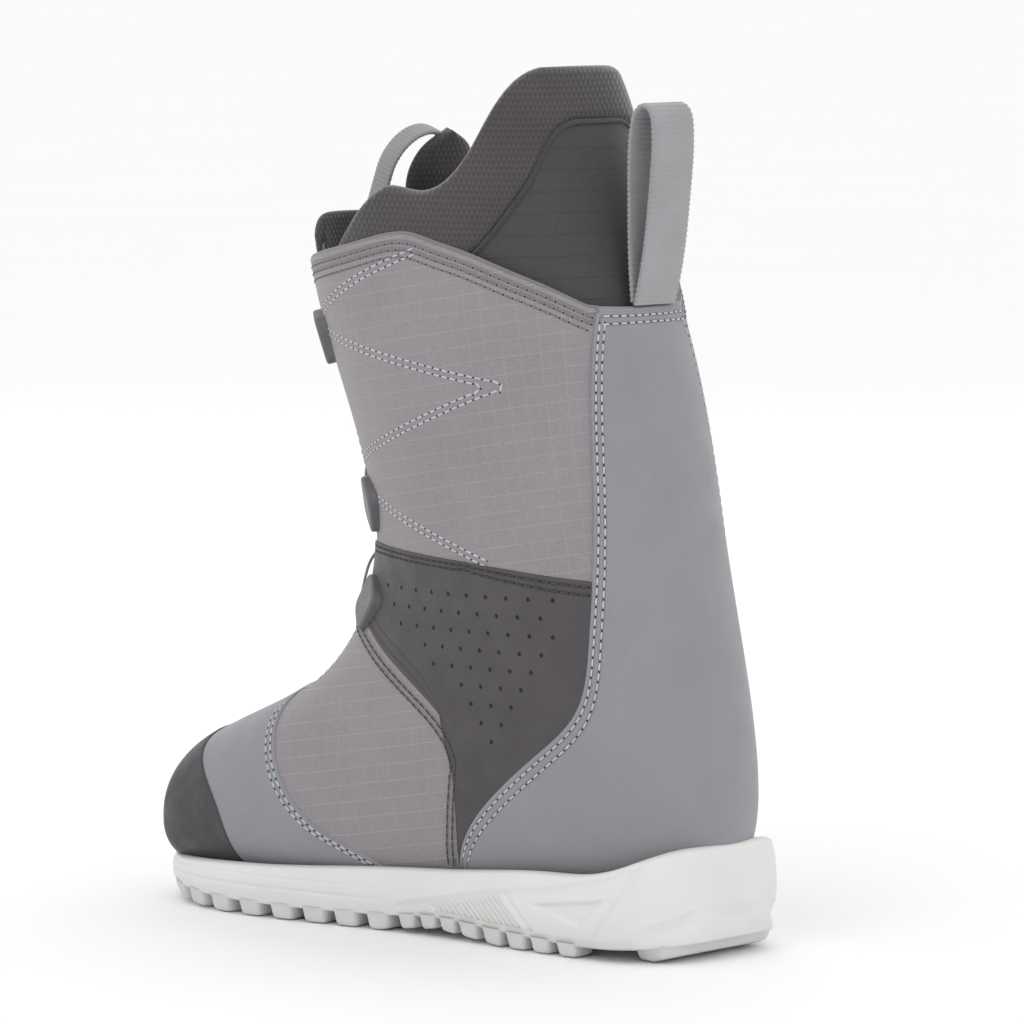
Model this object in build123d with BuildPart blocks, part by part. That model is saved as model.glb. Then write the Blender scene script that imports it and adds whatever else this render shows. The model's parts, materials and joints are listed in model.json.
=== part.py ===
from build123d import *
import os

import numpy as np

# Snowboard boot for the right foot, women's pattern, all sizes in millimetres.
# +X points to the toe, +Y to the medial (inner) side and +Z up. The origin lies on
# the ground under the middle of the heel.

os.makedirs("parts", exist_ok=True)

# ---------------------------------------------------------------- driving dimensions
SHELL_WALL = 3.0             # upper fabric with its foam backing
LINER_GAP = 0.4              # air between the shell and the liner
LINER_WALL = 7.6             # liner foam
THROAT_HALF = 23.2           # half width of the opening in front of the foot
SHELL_TONGUE_HALF = 22.4
LINER_THROAT_HALF = 21.0
LINER_TONGUE_HALF = 20.2
PLATE = 3.5                  # rubber plate that carries the lugs
BOARD = 2.2                  # lasting board
COUNTER = 1.6                # heel counter
FOOTBED = 4.0
CABLE = 1.2                  # closure cable
WEBBING = 1.8
GLUE_GAP = 0.05              # between the upper and the midsole

# Cross-sections of the upper, from the toe tip up to the collar. Each row holds the
# section number, the bottom or rear point (x, z), the top or front point (x, z), the
# half width, the share of the depth at which it is widest, and its sideways shift.
SECTIONS = np.array([
    (1, 230, 17, 229, 57, 27.0, 0.45, 11),
    (2, 214, 13, 210, 72, 39.0, 0.42, 8),
    (3, 183, 12, 180, 86, 47.0, 0.40, 4),
    (4, 136, 13, 157, 101, 49.0, 0.37, 1),
    (5, 80, 16, 142, 121, 47.0, 0.38, 0),
    (6, 14, 20, 135, 144, 45.0, 0.42, 0),
    (7, -32, 30, 134, 165, 45.0, 0.45, 0),
    (8, -43, 58, 137, 184, 46.0, 0.48, 0),
    (9, -37, 98, 142, 205, 49.0, 0.50, 0),
    (10, -25, 145, 150, 230, 53.0, 0.50, 0),
    (11, -13, 196, 159, 257, 57.0, 0.50, 0),
    (12, 0, 247, 165, 285, 59.0, 0.50, 0),
    (13, 13, 298, 168, 314, 56.0, 0.50, 0),
    (14, 30, 352, 162, 342, 47.0, 0.50, 0),
], float)
TOE_TIP = (238, 34)
FRONT_ROUNDNESS = 2.2        # exponent of the superellipse on the front half
REAR_ROUNDNESS = 2.4         # and on the rear half
SEAM_ANGLE = 7.5             # where each section's curve starts, clear of the middle plane

# Seams as seen from the side, (x, z) from the top down.
TOE_SEAM = [(224, 84), (206, 62), (190, 47), (182, 30), (183, 2)]
VAMP_SEAM = [(171, 112), (168, 90), (160, 70), (150, 54), (132, 39), (104, 24), (92, 2)]
BACKSTAY_SEAM = [(8, 272), (4, 235), (-3, 180), (-5, 125), (0, 98), (17, 81),
                 (41, 62), (58, 44), (68, 27)]
ANKLE_SEAM = [(160, 127), (131, 125), (107, 113), (82, 99), (63, 81), (61, 62), (63, 44), (68, 27)]
SEAM_FOOT = (72, 0)
ANKLE_TOP = [(-4, 150), (30, 153), (70, 155), (170, 157)]
CUFF_TOP = [(6, 251), (21, 265), (47, 275), (75, 282), (110, 279), (141, 271), (175, 266)]
COLLAR_SEAM = [(8, 331), (24, 330), (28, 312), (33, 295), (43, 278), (64, 262), (175, 252)]
LINER_RIM = [(20, 352), (36, 351), (45, 339), (53, 318), (66, 304), (82, 300), (100, 284),
             (120, 274), (175, 266)]

SOLE_OUTLINE = [
    (-45, 0), (-42, 26), (-28, 39), (0, 44), (45, 43.5), (95, 43.5), (145, 50),
    (180, 52.5), (212, 46), (232, 31), (243, 11), (242, -12), (229, -32), (200, -46),
    (165, -51), (120, -47.5), (70, -43), (0, -44), (-28, -39), (-42, -26),
]


# ------------------------------------------------------------------ the last's surface
def natural_spline(knots, values):
    """Cubic spline with free ends through the given values."""
    knots = np.asarray(knots, float)
    values = np.asarray(values, float)
    steps = np.diff(knots)
    system = np.eye(len(knots))
    right = np.zeros(len(knots))
    for i in range(1, len(knots) - 1):
        system[i, i - 1:i + 2] = steps[i - 1], 2 * (steps[i - 1] + steps[i]), steps[i]
        slope_after = (values[i + 1] - values[i]) / steps[i]
        slope_before = (values[i] - values[i - 1]) / steps[i - 1]
        right[i] = 6 * (slope_after - slope_before)
    bend = np.linalg.solve(system, right)

    def value(at):
        i = int(np.clip(np.searchsorted(knots, at, side="right") - 1, 0, len(steps) - 1))
        a = (knots[i + 1] - at) / steps[i]
        b = (at - knots[i]) / steps[i]
        cubic = ((a**3 - a) * bend[i] + (b**3 - b) * bend[i + 1]) * steps[i]**2 / 6
        return float(a * values[i] + b * values[i + 1] + cubic)

    return value


def mirrored(column, middle, sign):
    """Values from -14 to 14 through the toe tip, odd or even about it."""
    return np.concatenate([sign * column[::-1], [middle], column])


NUMBERS = mirrored(SECTIONS[:, 0], 0, -1)
PROFILE_X = natural_spline(
    NUMBERS, np.concatenate([SECTIONS[::-1, 1], [TOE_TIP[0]], SECTIONS[:, 3]]))
PROFILE_Z = natural_spline(
    NUMBERS, np.concatenate([SECTIONS[::-1, 2], [TOE_TIP[1]], SECTIONS[:, 4]]))
HALF_WIDTH = natural_spline(NUMBERS, mirrored(SECTIONS[:, 5], 0, -1))
WIDEST = natural_spline(NUMBERS, mirrored(SECTIONS[:, 6], SECTIONS[0, 6], 1))
SHIFT = natural_spline(NUMBERS, mirrored(SECTIONS[:, 7], SECTIONS[0, 7], 1))


def section_plane(number):
    """Plane of one section: local x runs from its rear point to its front point."""
    rear = Vector(PROFILE_X(-number), 0, PROFILE_Z(-number))
    front = Vector(PROFILE_X(number), 0, PROFILE_Z(number))
    across = front - rear
    return Plane(origin=rear, x_dir=across, z_dir=across.cross(Vector(0, 1, 0)))


def section_point(number, angle, inset=0.0):
    """Local point of a section; angle 0 is the front and 90 degrees is medial."""
    depth = np.hypot(PROFILE_X(number) - PROFILE_X(-number),
                     PROFILE_Z(number) - PROFILE_Z(-number))
    cosine, sine = np.cos(np.radians(angle)), np.sin(np.radians(angle))
    exponent = 2 / (FRONT_ROUNDNESS if cosine > 0 else REAR_ROUNDNESS)
    share = WIDEST(number)
    reach = depth * (1 - share if cosine > 0 else share) - inset
    along = share * depth + reach * np.sign(cosine) * abs(cosine)**exponent
    width = (HALF_WIDTH(number) - inset) * np.sign(sine) * abs(sine)**exponent
    return along, width + SHIFT(number)


def surface_point(number, angle, inset=0.0):
    along, width = section_point(number, angle, inset)
    return section_plane(number).from_local_coords(Vector(along, width, 0))


def surface_plane(number, angle, height):
    """Tangent plane of the upper, local x towards the throat and local y up the boot."""
    here = surface_point(number, angle)
    towards = 1 if angle < 0 else -1
    along = surface_point(number, angle + towards) - here
    up = surface_point(number + 0.1, angle) - here
    normal = along.cross(up) * towards
    outward = here - (surface_point(number, angle) + surface_point(number, angle + 180)) / 2
    if normal.dot(outward) < 0:
        normal = -normal
    normal = normal.normalized()
    return Plane(origin=here + normal * height, x_dir=along, z_dir=normal)


def last_solid(inset, first, final):
    """Loft of the sections from number first to number final, moved in by inset."""
    numbers = [first] + [n for n in SECTIONS[:, 0] if first + 0.2 < n <= final]
    with BuildPart() as body:
        for number in numbers:
            with BuildSketch(section_plane(number)):
                with BuildLine():
                    points = [section_point(number, SEAM_ANGLE + turn, inset)
                              for turn in range(0, 360, 15)]
                    Spline(*points, periodic=True)
                make_face()
        loft()
    return body.part


def side_region(*runs, low=-90, high=90):
    """Prism across the boot whose side view is closed from splines and straight runs."""
    with BuildPart() as prism:
        with BuildSketch(Plane.XZ.offset(-high)):
            with BuildLine():
                for i, run in enumerate(runs):
                    if len(run) > 2:
                        Spline(*run)
                    else:
                        Line(*run)
                    following = runs[(i + 1) % len(runs)][0]
                    if run[-1] != following:
                        Line(run[-1], following)
            make_face()
        extrude(amount=high - low)
    return prism.part


def cut_from(solid, region, *removed):
    """The part of a solid inside a region, less what is removed."""
    with BuildPart() as piece:
        add(solid)
        add(region, mode=Mode.INTERSECT)
        for other in removed:
            add(other, mode=Mode.SUBTRACT)
    return piece


def gap_prism(half, rear, low):
    """Straight slot along the boot's middle plane."""
    with BuildPart() as slot:
        with Locations(((rear + 300) / 2, 0, (low + 400) / 2)):
            Box(300 - rear, 2 * half, 400 - low)
    return slot.part


def slab(outline_plane, points, amount):
    """Prism of a polygon drawn on a plane."""
    with BuildPart() as prism:
        with BuildSketch(outline_plane):
            with BuildLine():
                Polyline(*points, close=True)
            make_face()
        extrude(amount=amount)
    return prism.part


def finish(piece, name):
    piece.part.label = name
    export_step(piece.part, f"parts/{name}.step")


LINER_OUTER = SHELL_WALL + LINER_GAP
LINER_INNER = LINER_OUTER + LINER_WALL
outer = last_solid(0, 0.2, 13)
shell_inside = last_solid(SHELL_WALL, 0.5, 13)
liner_low_outside = last_solid(LINER_OUTER, 0.55, 10)
liner_low_inside = last_solid(LINER_INNER, 1.25, 10)
liner_top_outside = last_solid(LINER_OUTER, 7, 14)
liner_top_inside = last_solid(LINER_INNER, 7, 14)
shell = cut_from(outer, outer, shell_inside).part
throat = gap_prism(THROAT_HALF, 100, 60)

# ----------------------------------------------------------------------- upper panels
toe_region = side_region(TOE_SEAM, [(183, 2), (260, 2)], [(260, 2), (260, 84)])
toe_cap = cut_from(shell, toe_region)
finish(toe_cap, "toe_cap")

vamp_region = side_region(TOE_SEAM[::-1], [(224, 130), (171, 130)], VAMP_SEAM)
vamp = cut_from(shell, vamp_region)
finish(vamp, "vamp")

backstay_region = side_region(
    BACKSTAY_SEAM, [BACKSTAY_SEAM[-1], SEAM_FOOT], [(-80, 0), (-80, 272)])
backstay_top = side_region([(-80, 247), (-8, 247)], [(12, 253), (90, 253)], [(90, 0), (-80, 0)])
backstay = cut_from(cut_from(shell, backstay_region).part, backstay_top)
finish(backstay, "backstay")

for side, low, high in (("medial", 0, 90), ("lateral", -90, 0)):
    quarter_region = side_region(
        VAMP_SEAM, [(92, 2), (92, 0)], [SEAM_FOOT, ANKLE_SEAM[-1]], ANKLE_SEAM[::-1],
        [(171, 127), (171, 112)], low=low, high=high)
    quarter = cut_from(shell, quarter_region, throat)
    finish(quarter, f"quarter_{side}")

    half = slab(Plane.XZ.offset(-high), [(-80, 20), (64, 20), (190, 90), (190, 290), (-80, 290)], 90)
    rest = cut_from(shell, half, backstay_region, quarter_region, vamp_region, throat).part
    under_seam = side_region([(-60, 0), (-60, 149)], ANKLE_TOP, [(170, 0), (-60, 0)],
                             low=low, high=high)
    ankle_panel = cut_from(rest, under_seam)
    finish(ankle_panel, f"ankle_panel_{side}")

    under_top = side_region([(-60, 0), (-60, 251)], CUFF_TOP, [(175, 0), (-60, 0)],
                            low=low, high=high)
    cuff = cut_from(rest, under_top, under_seam)
    finish(cuff, f"cuff_{side}")

# ------------------------------------------------------- board and counter in the shell
board_inside = last_solid(SHELL_WALL + BOARD, 0.7, 10)
counter_inside = last_solid(SHELL_WALL + COUNTER, 0.7, 10)
board_layer = side_region([(-60, 0), (-60, 40)], [(-60, 40), (-30, 39), (0, 30), (80, 24),
                          (180, 20), (228, 24)], [(240, 20), (240, 0)])
lasting_board = cut_from(cut_from(shell_inside, board_layer).part, board_layer, board_inside)
finish(lasting_board, "lasting_board")

counter_region = side_region([(-80, 42), (-80, 92)], [(-10, 92), (14, 58)], [(14, 58), (6, 42)])
heel_counter = cut_from(cut_from(shell_inside, counter_region).part, counter_region,
                        counter_inside)
finish(heel_counter, "heel_counter")

# ------------------------------------------------------------------------------ liner
liner_throat = gap_prism(LINER_THROAT_HALF, 90, 70)
liner_throat = cut_from(liner_throat, side_region([(80, 0), (161, 0)], [(161, 160), (300, 160)],
                                                  [(300, 500), (80, 500)])).part
under_ankle = slab(Plane.XZ.offset(-100), [(-90, -20), (230, -20), (230, 257.7), (-90, 66.3)], 200)
over_ankle = slab(Plane.XZ.offset(-100), [(-90, 66.3), (230, 257.7), (230, 420), (-90, 420)], 200)
liner_low = cut_from(liner_low_outside, under_ankle, liner_low_inside, shell).part
liner_foot = cut_from(liner_low, under_ankle, lasting_board.part, heel_counter.part, liner_throat)
finish(liner_foot, "liner_foot")

under_rim = side_region([(-60, 0), (-60, 352)], [(-60, 352), (20, 352)], LINER_RIM,
                        [(175, 0), (-60, 0)])
over_seam = side_region([(-60, 331), COLLAR_SEAM[0]], COLLAR_SEAM, [(175, 420), (-60, 420)])
liner_top = cut_from(liner_top_outside, over_ankle, liner_top_inside, liner_throat, shell).part
liner_top = cut_from(liner_top, under_rim).part
liner_cuff = cut_from(liner_top, under_rim, over_seam)
finish(liner_cuff, "liner_cuff")
liner_collar = cut_from(liner_top, over_seam)
finish(liner_collar, "liner_collar")

footbed_top = last_solid(LINER_INNER + FOOTBED, 1.7, 10)
footbed_layer = side_region([(-60, 0), (-60, 56)], [(-60, 56), (-20, 50), (20, 42), (80, 37),
                            (190, 34), (225, 36)], [(240, 36), (240, 0)])
footbed = cut_from(cut_from(liner_low_inside, footbed_layer).part, footbed_layer, footbed_top)
finish(footbed, "footbed")

# ---------------------------------------------------------------------------- tongues
tongue_strip = slab(Plane.XZ.offset(-SHELL_TONGUE_HALF), [(100, 60), (145.5, 60), (199.5, 150),
                    (210, 150), (210, 300), (100, 300)], 2 * SHELL_TONGUE_HALF)
with BuildPart() as tongue_outline:
    with BuildSketch(Plane.YZ):
        with Locations((0, 138)):
            RectangleRounded(2 * SHELL_TONGUE_HALF, 300, 14)
    extrude(amount=260)
tongue_loft = last_solid(-0.4, 0.2, 13)
tongue_body = cut_from(cut_from(tongue_loft, tongue_strip).part, tongue_outline.part,
                       shell_inside).part
tongue_head = slab(Plane.XZ.offset(-90), [(100, 258), (210, 258), (210, 330), (100, 330)], 180)
shell_tongue = cut_from(tongue_body, tongue_strip, tongue_head)
finish(shell_tongue, "shell_tongue")
tongue_pad = cut_from(tongue_body, tongue_head)
finish(tongue_pad, "tongue_pad")

liner_tongue_outside = last_solid(LINER_OUTER + 0.8, 0.7, 13)
liner_tongue_inside = last_solid(LINER_INNER, 1.25, 13)
liner_tongue_strip = slab(
    Plane.XZ.offset(-LINER_TONGUE_HALF), [(98, 70), (160, 70), (160, 160), (210, 160),
                                          (210, 246), (98, 246)], 2 * LINER_TONGUE_HALF)
PAD_FRONT = [(146, 236), (146, 250), (142, 270), (135.5, 294), (127, 318)]
PAD_REAR = [(120, 316), (128, 292), (134.5, 268), (138.5, 250), (139, 236)]
pad_side = side_region(PAD_FRONT, [PAD_FRONT[-1], PAD_REAR[0]], PAD_REAR)
with BuildPart() as pad_outline:
    with BuildSketch(Plane.YZ):
        with Locations((0, 258)):
            RectangleRounded(2 * 19, 64, 12)
        with Locations((-13.5, 298)):
            Circle(19.5)
    extrude(amount=260)
with BuildPart() as liner_tongue:
    add(liner_tongue_outside)
    add(liner_tongue_strip, mode=Mode.INTERSECT)
    add(liner_tongue_inside, mode=Mode.SUBTRACT)
    add(cut_from(pad_side, pad_outline.part).part)
finish(liner_tongue, "liner_tongue")

# ------------------------------------------------------------------------------ loops
LOOP_SPAN = 38.0
LOOP_LEG = 15.0
loop_plane = Plane(origin=(139.3, -9, 289.4), x_dir=(0, 1, 0), z_dir=(0.936, 0, 0.351))
with BuildPart() as front_loop:
    with BuildSketch(loop_plane):
        with BuildLine():
            Line((-LOOP_SPAN / 2, 0), (-LOOP_SPAN / 2, LOOP_LEG))
            RadiusArc((-LOOP_SPAN / 2, LOOP_LEG), (LOOP_SPAN / 2, LOOP_LEG), LOOP_SPAN / 2)
            Line((LOOP_SPAN / 2, LOOP_LEG), (LOOP_SPAN / 2, 0))
            Line((LOOP_SPAN / 2, 0), (-LOOP_SPAN / 2, 0))
        make_face()
        with BuildLine():
            inner = LOOP_SPAN / 2 - WEBBING
            Line((-inner, 0), (-inner, LOOP_LEG))
            RadiusArc((-inner, LOOP_LEG), (inner, LOOP_LEG), inner)
            Line((inner, LOOP_LEG), (inner, 0))
            Line((inner, 0), (-inner, 0))
        make_face(mode=Mode.SUBTRACT)
    extrude(amount=9)
finish(front_loop, "front_loop")

HEEL_LOOP_WIDTH = 25.0
HEEL_LOOP_OUTSIDE = [(0.5, 254), (-5, 272), (-8.5, 300), (-10, 326), (-3.5, 336), (3, 327),
                     (4.2, 300), (3.8, 272)]
HEEL_LOOP_INSIDE = [(-0.3, 262), (-3.2, 274), (-6.7, 300), (-8.1, 325), (-3.6, 333.8), (1.2, 326),
                    (2.4, 300), (1.9, 274)]
with BuildPart() as heel_loop:
    with BuildSketch(Plane.XZ.offset(-8)):
        with BuildLine():
            Spline(*HEEL_LOOP_OUTSIDE, periodic=True)
        make_face()
        with BuildLine():
            Spline(*HEEL_LOOP_INSIDE, periodic=True)
        make_face(mode=Mode.SUBTRACT)
    extrude(amount=HEEL_LOOP_WIDTH)
finish(heel_loop, "heel_loop")

# ------------------------------------------------------------------------------- sole
PLATE_BOTTOM = [(-60, 11), (-45, 7.5), (-30, 5.5), (30, 5.5), (52, 6.5), (75, 7.6), (98, 6.3),
                (120, 5.5), (180, 5.5), (212, 6.8), (255, 11)]
PLATE_TOP = [(x, z + PLATE) for x, z in PLATE_BOTTOM]
GROUND = [(-60, 8), (-45, 4), (-30, 0), (40, 0), (56, 1.5), (75, 3.2), (94, 1.5), (104, 0),
          (185, 0), (215, 1.2), (255, 6)]
SOLE_TOP = [(-60, 46), (-44, 45), (-34, 42), (-16, 35.5), (20, 32), (60, 28.5), (110, 25),
            (160, 21.5), (195, 20), (225, 18.5), (260, 19)]
with BuildPart() as sole_block:
    with BuildSketch():
        with BuildLine():
            Spline(*SOLE_OUTLINE, periodic=True)
        make_face()
    extrude(amount=60)

plate_layer = side_region(PLATE_BOTTOM, PLATE_TOP[::-1])
above_plate = side_region(PLATE_TOP, [(255, 60), (-60, 60)])
under_edge = side_region([(-60, 0), (-60, 46)], SOLE_TOP, [(260, 0), (-60, 0)])
under_ground = side_region(GROUND, [(255, -20), (-60, -20)])


def edge_lugs(positions, half_length, width, side):
    """Row of rounded lugs along one edge of the sole, standing past it before trimming."""
    with BuildPart() as row:
        for x in positions:
            edge = side * float(np.interp(x, *EDGE[side]))
            with BuildSketch(Plane.XY):
                with Locations((x, edge - side * (width / 2 - 4))):
                    RectangleRounded(2 * half_length, width, half_length * 0.7)
            extrude(amount=12)
    return row.part


EDGE = {
    1: ([p[0] for p in SOLE_OUTLINE[:11]], [p[1] for p in SOLE_OUTLINE[:11]]),
    -1: ([p[0] for p in SOLE_OUTLINE[:10:-1]], [-p[1] for p in SOLE_OUTLINE[:10:-1]]),
}
FOREFOOT_LUGS = [105, 121, 137, 153, 170, 187, 203, 218, 231]
ARCH_LUGS = [68, 79, 90]
HEEL_LUGS = [57, 44, 31, 17.5, 4]
lug_rows = [edge_lugs(FOREFOOT_LUGS, 5.2, 20, side) for side in (1, -1)]
lug_rows += [edge_lugs(ARCH_LUGS, 3.6, 15, side) for side in (1, -1)]
lug_rows += [edge_lugs(HEEL_LUGS, 4.4, 19, side) for side in (1, -1)]

with BuildPart() as centre_lugs:
    with BuildSketch(Plane.XY):
        with Locations(*[(x, y) for x in (118, 140, 162, 184, 206) for y in (-11, 13)]):
            RegularPolygon(9.5, 6)
        with Locations(*[(x, 1) for x in (107, 129, 151, 173, 195, 217)]):
            RegularPolygon(8, 3)
        Rectangle(26, 34)
        with Locations((29, 0), (47, 0)):
            RectangleRounded(11, 34, 3)
        with Locations((-30, 0)):
            RectangleRounded(22, 66, 9)
    extrude(amount=12)

with BuildPart() as tread:
    for row in lug_rows:
        add(row)
    add(centre_lugs.part)
    add(sole_block.part, mode=Mode.INTERSECT)
    add(above_plate, mode=Mode.SUBTRACT)
    add(under_ground, mode=Mode.SUBTRACT)
with BuildPart() as outsole:
    add(sole_block.part)
    add(plate_layer, mode=Mode.INTERSECT)
    add(tread.part)
finish(outsole, "outsole")

with BuildPart() as heel_cushion:
    with BuildSketch(Plane.XY.offset(10)):
        with Locations((-6, 0)):
            RectangleRounded(44, 46, 18)
    extrude(amount=6)
    fillet(heel_cushion.edges().group_by(Axis.Z)[-1], 1.5)
finish(heel_cushion, "heel_cushion")

with BuildPart() as shank:
    with BuildSketch(Plane.XY.offset(12)):
        with Locations((76, 0)):
            RectangleRounded(84, 26, 8)
    extrude(amount=1.6)
finish(shank, "shank")

with BuildPart() as midsole:
    add(sole_block.part)
    add(under_edge, mode=Mode.INTERSECT)
    add(cut_from(sole_block.part, above_plate).part, mode=Mode.INTERSECT)
    add(last_solid(-GLUE_GAP, 0.2, 13), mode=Mode.SUBTRACT)
    add(heel_cushion.part, mode=Mode.SUBTRACT)
    add(shank.part, mode=Mode.SUBTRACT)
finish(midsole, "midsole")

# ---------------------------------------------------------------------------- closure
DIAL_SECTION, DIAL_ANGLE = 10.0, -64
BASE_RADIUS, KNOB_RADIUS, GRIP_RADIUS = 17.0, 14.6, 16.4
BORE_RADIUS, SPOOL_RADIUS, CORE_RADIUS, POST_RADIUS = 13.0, 9.6, 6.4, 3.0
CABLE_LEVEL = 3.2
dial = surface_plane(DIAL_SECTION, DIAL_ANGLE, 0)
dial_axis = Axis(dial.origin, dial.z_dir)


def disc(radius, low, high, plane=dial):
    """Round disc about the dial's axis between two heights over the upper."""
    with BuildPart() as part:
        with BuildSketch(plane.offset(low)):
            Circle(radius)
        extrude(amount=high - low)
    return part.part


def dial_hole(x, y, direction):
    """Cable hole through the dial's wall."""
    start = dial.from_local_coords(Vector(x, y, CABLE_LEVEL))
    towards = dial.from_local_coords(Vector(x + direction[0], y + direction[1], CABLE_LEVEL)) - start
    with BuildPart() as hole:
        with BuildSketch(Plane(origin=start, z_dir=towards)):
            Circle(CABLE / 2 + 0.3)
        extrude(amount=40)
    return hole.part


with BuildPart() as dial_base:
    add(disc(BASE_RADIUS, -6, 6.2))
    chamfer(dial_base.faces().sort_by(dial_axis)[-1].edges(), 1.2)
    add(disc(BORE_RADIUS, 1.2, 8), mode=Mode.SUBTRACT)
    add(dial_hole(0, 8.2, (1, 0)), mode=Mode.SUBTRACT)
    add(dial_hole(8.2, 0, (0, -1)), mode=Mode.SUBTRACT)
    add(outer, mode=Mode.SUBTRACT)
finish(dial_base, "dial_base")

with BuildPart() as dial_spool:
    add(disc(SPOOL_RADIUS, 1.5, 5.4))
    add(cut_from(disc(SPOOL_RADIUS + 1, 2.3, 4.2), disc(20, 0, 8), disc(CORE_RADIUS, 0, 8)).part,
        mode=Mode.SUBTRACT)
    add(disc(POST_RADIUS + 0.06, 0, 8), mode=Mode.SUBTRACT)
finish(dial_spool, "dial_spool")

with BuildPart() as dial_hub:
    add(disc(POST_RADIUS, 1.5, 16.6))
    add(disc(6.0, 15.2, 16.6))
finish(dial_hub, "dial_hub")

with BuildPart() as dial_knob:
    add(disc(KNOB_RADIUS, 6.6, 15.0))
    fillet(dial_knob.faces().sort_by(dial_axis)[-1].edges(), 2)
    add(disc(POST_RADIUS + 0.06, 5, 17), mode=Mode.SUBTRACT)
finish(dial_knob, "dial_knob")

RIBS = 24
with BuildPart() as dial_grip:
    with BuildSketch(dial.offset(7.2)):
        Circle(GRIP_RADIUS)
        with PolarLocations(GRIP_RADIUS + 0.35, RIBS):
            Circle(0.9, mode=Mode.SUBTRACT)
        Circle(KNOB_RADIUS, mode=Mode.SUBTRACT)
    extrude(amount=5.2)
finish(dial_grip, "dial_grip")

# The cable leaves the dial, laces down across the tongue between guides on the two
# throat edges, and comes back up to the dial's second hole.
GUIDE_ANGLE = 36
MEDIAL_GUIDES = [10.6, 8.0, 6.0]
LATERAL_GUIDES = [9.0, 7.0]
TURN_SECTION, TURN_ANGLE = 5.2, -40
LOOP_HALF = 7.0              # half the spacing of the two runs in a guide
GUIDE_DEPTH = 6.0
CABLE_HEIGHT = 2.5           # cable centre over the upper, in a guide
CROSSING_HEIGHT = 4.4        # and over the tongue
CROSSING_ANGLE = 13


def guide_route(plane):
    """Points of the cable's turn in one guide, in order down the boot."""
    local = [(10, LOOP_HALF), (-GUIDE_DEPTH, LOOP_HALF), (-GUIDE_DEPTH, -LOOP_HALF),
             (10, -LOOP_HALF)]
    return [plane.from_local_coords(Vector(x, y, CABLE_HEIGHT)) for x, y in local]


def over_tongue(section, side):
    here = surface_plane(section, side * CROSSING_ANGLE, CROSSING_HEIGHT)
    return here.origin


route = [dial.from_local_coords(Vector(0, 8.2, CABLE_LEVEL)),
         dial.from_local_coords(Vector(22, 8.2, CABLE_LEVEL)),
         surface_plane(10.25, -40, 4.5).origin]
levels = [(10.6, 1), (9.0, -1), (8.0, 1), (7.0, -1), (6.0, 1)]
guide_planes = {}
previous = 10.3
for section, side in levels:
    plane = surface_plane(section, side * GUIDE_ANGLE, 0)
    guide_planes[(section, side)] = plane
    arrive = section + 0.25
    route.append(over_tongue(0.6 * previous + 0.4 * arrive, -side))
    route.append(over_tongue(0.35 * previous + 0.65 * arrive, side))
    route += guide_route(plane)
    previous = section - 0.3
turn_plane = surface_plane(TURN_SECTION, TURN_ANGLE, 0)
route.append(over_tongue(5.5, 1))
route.append(over_tongue(5.35, -1))
route += [turn_plane.from_local_coords(Vector(*p, CABLE_HEIGHT))
          for p in ((13, 0), (-1, 0), (-1, 14))]
route += [surface_plane(7.0, -58, 3.2).origin, surface_plane(8.6, -66, 3.6).origin]
route += [dial.from_local_coords(Vector(8.2, -22, CABLE_LEVEL)),
          dial.from_local_coords(Vector(8.2, 0, CABLE_LEVEL))]
radii = []
for before, corner, after in zip(route, route[1:], route[2:]):
    run_in, run_out = corner - before, after - corner
    turn = np.radians(run_in.get_angle(run_out))
    radii.append(0.45 * min(run_in.length, run_out.length) / np.tan(turn / 2))
print("cable runs", [round((b - a).length) for a, b in zip(route, route[1:])])
print("cable radii", [round(r, 1) for r in radii])

with BuildPart() as lace:
    with BuildLine() as lace_path:
        FilletPolyline(*route, radius=radii)
    with BuildSketch(Plane(origin=route[0], z_dir=route[1] - route[0])):
        Circle(CABLE / 2)
    sweep()
print("cable volume over section times length",
      lace.part.volume / (np.pi * CABLE**2 / 4 * lace_path.wires()[0].length))
finish(lace, "lace")


def guide_body(plane, points):
    """Low moulded guide with a channel for the cable, seated on the upper."""
    with BuildPart() as body:
        with BuildSketch(plane.offset(-5)):
            with Locations((-1.5, 0)):
                RectangleRounded(17, 2 * LOOP_HALF + 7, 5)
        extrude(amount=5 + CABLE_HEIGHT + 1.9)
        fillet(body.faces().sort_by(Axis(plane.origin, plane.z_dir))[-1].edges(), 1.2)
        add(outer, mode=Mode.SUBTRACT)
        add(throat, mode=Mode.SUBTRACT)
        add(channel(points), mode=Mode.SUBTRACT)
    return body.part


def channel(points):
    """Tube around the cable's turn, wide enough for it to slide."""
    with BuildPart() as tube:
        with BuildLine():
            FilletPolyline(*points, radius=0.45 * 2 * LOOP_HALF)
        with BuildSketch(Plane(origin=points[0], z_dir=points[1] - points[0])):
            Circle(CABLE / 2 + 0.3)
        sweep()
    return tube.part


for side, name in ((1, "medial"), (-1, "lateral")):
    with BuildPart() as guides:
        for (section, guide_side), plane in guide_planes.items():
            if guide_side == side:
                add(guide_body(plane, guide_route(plane)))
        if side == -1:
            turn_points = [turn_plane.from_local_coords(Vector(*p, CABLE_HEIGHT))
                           for p in ((13, 0), (-1, 0), (-1, 14))]
            add(guide_body(turn_plane, turn_points))
    finish(guides, f"lace_guides_{name}")
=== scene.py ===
"""Snowboard boot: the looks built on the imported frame. Lengths are in mm until a mesh is made."""

import json

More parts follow.
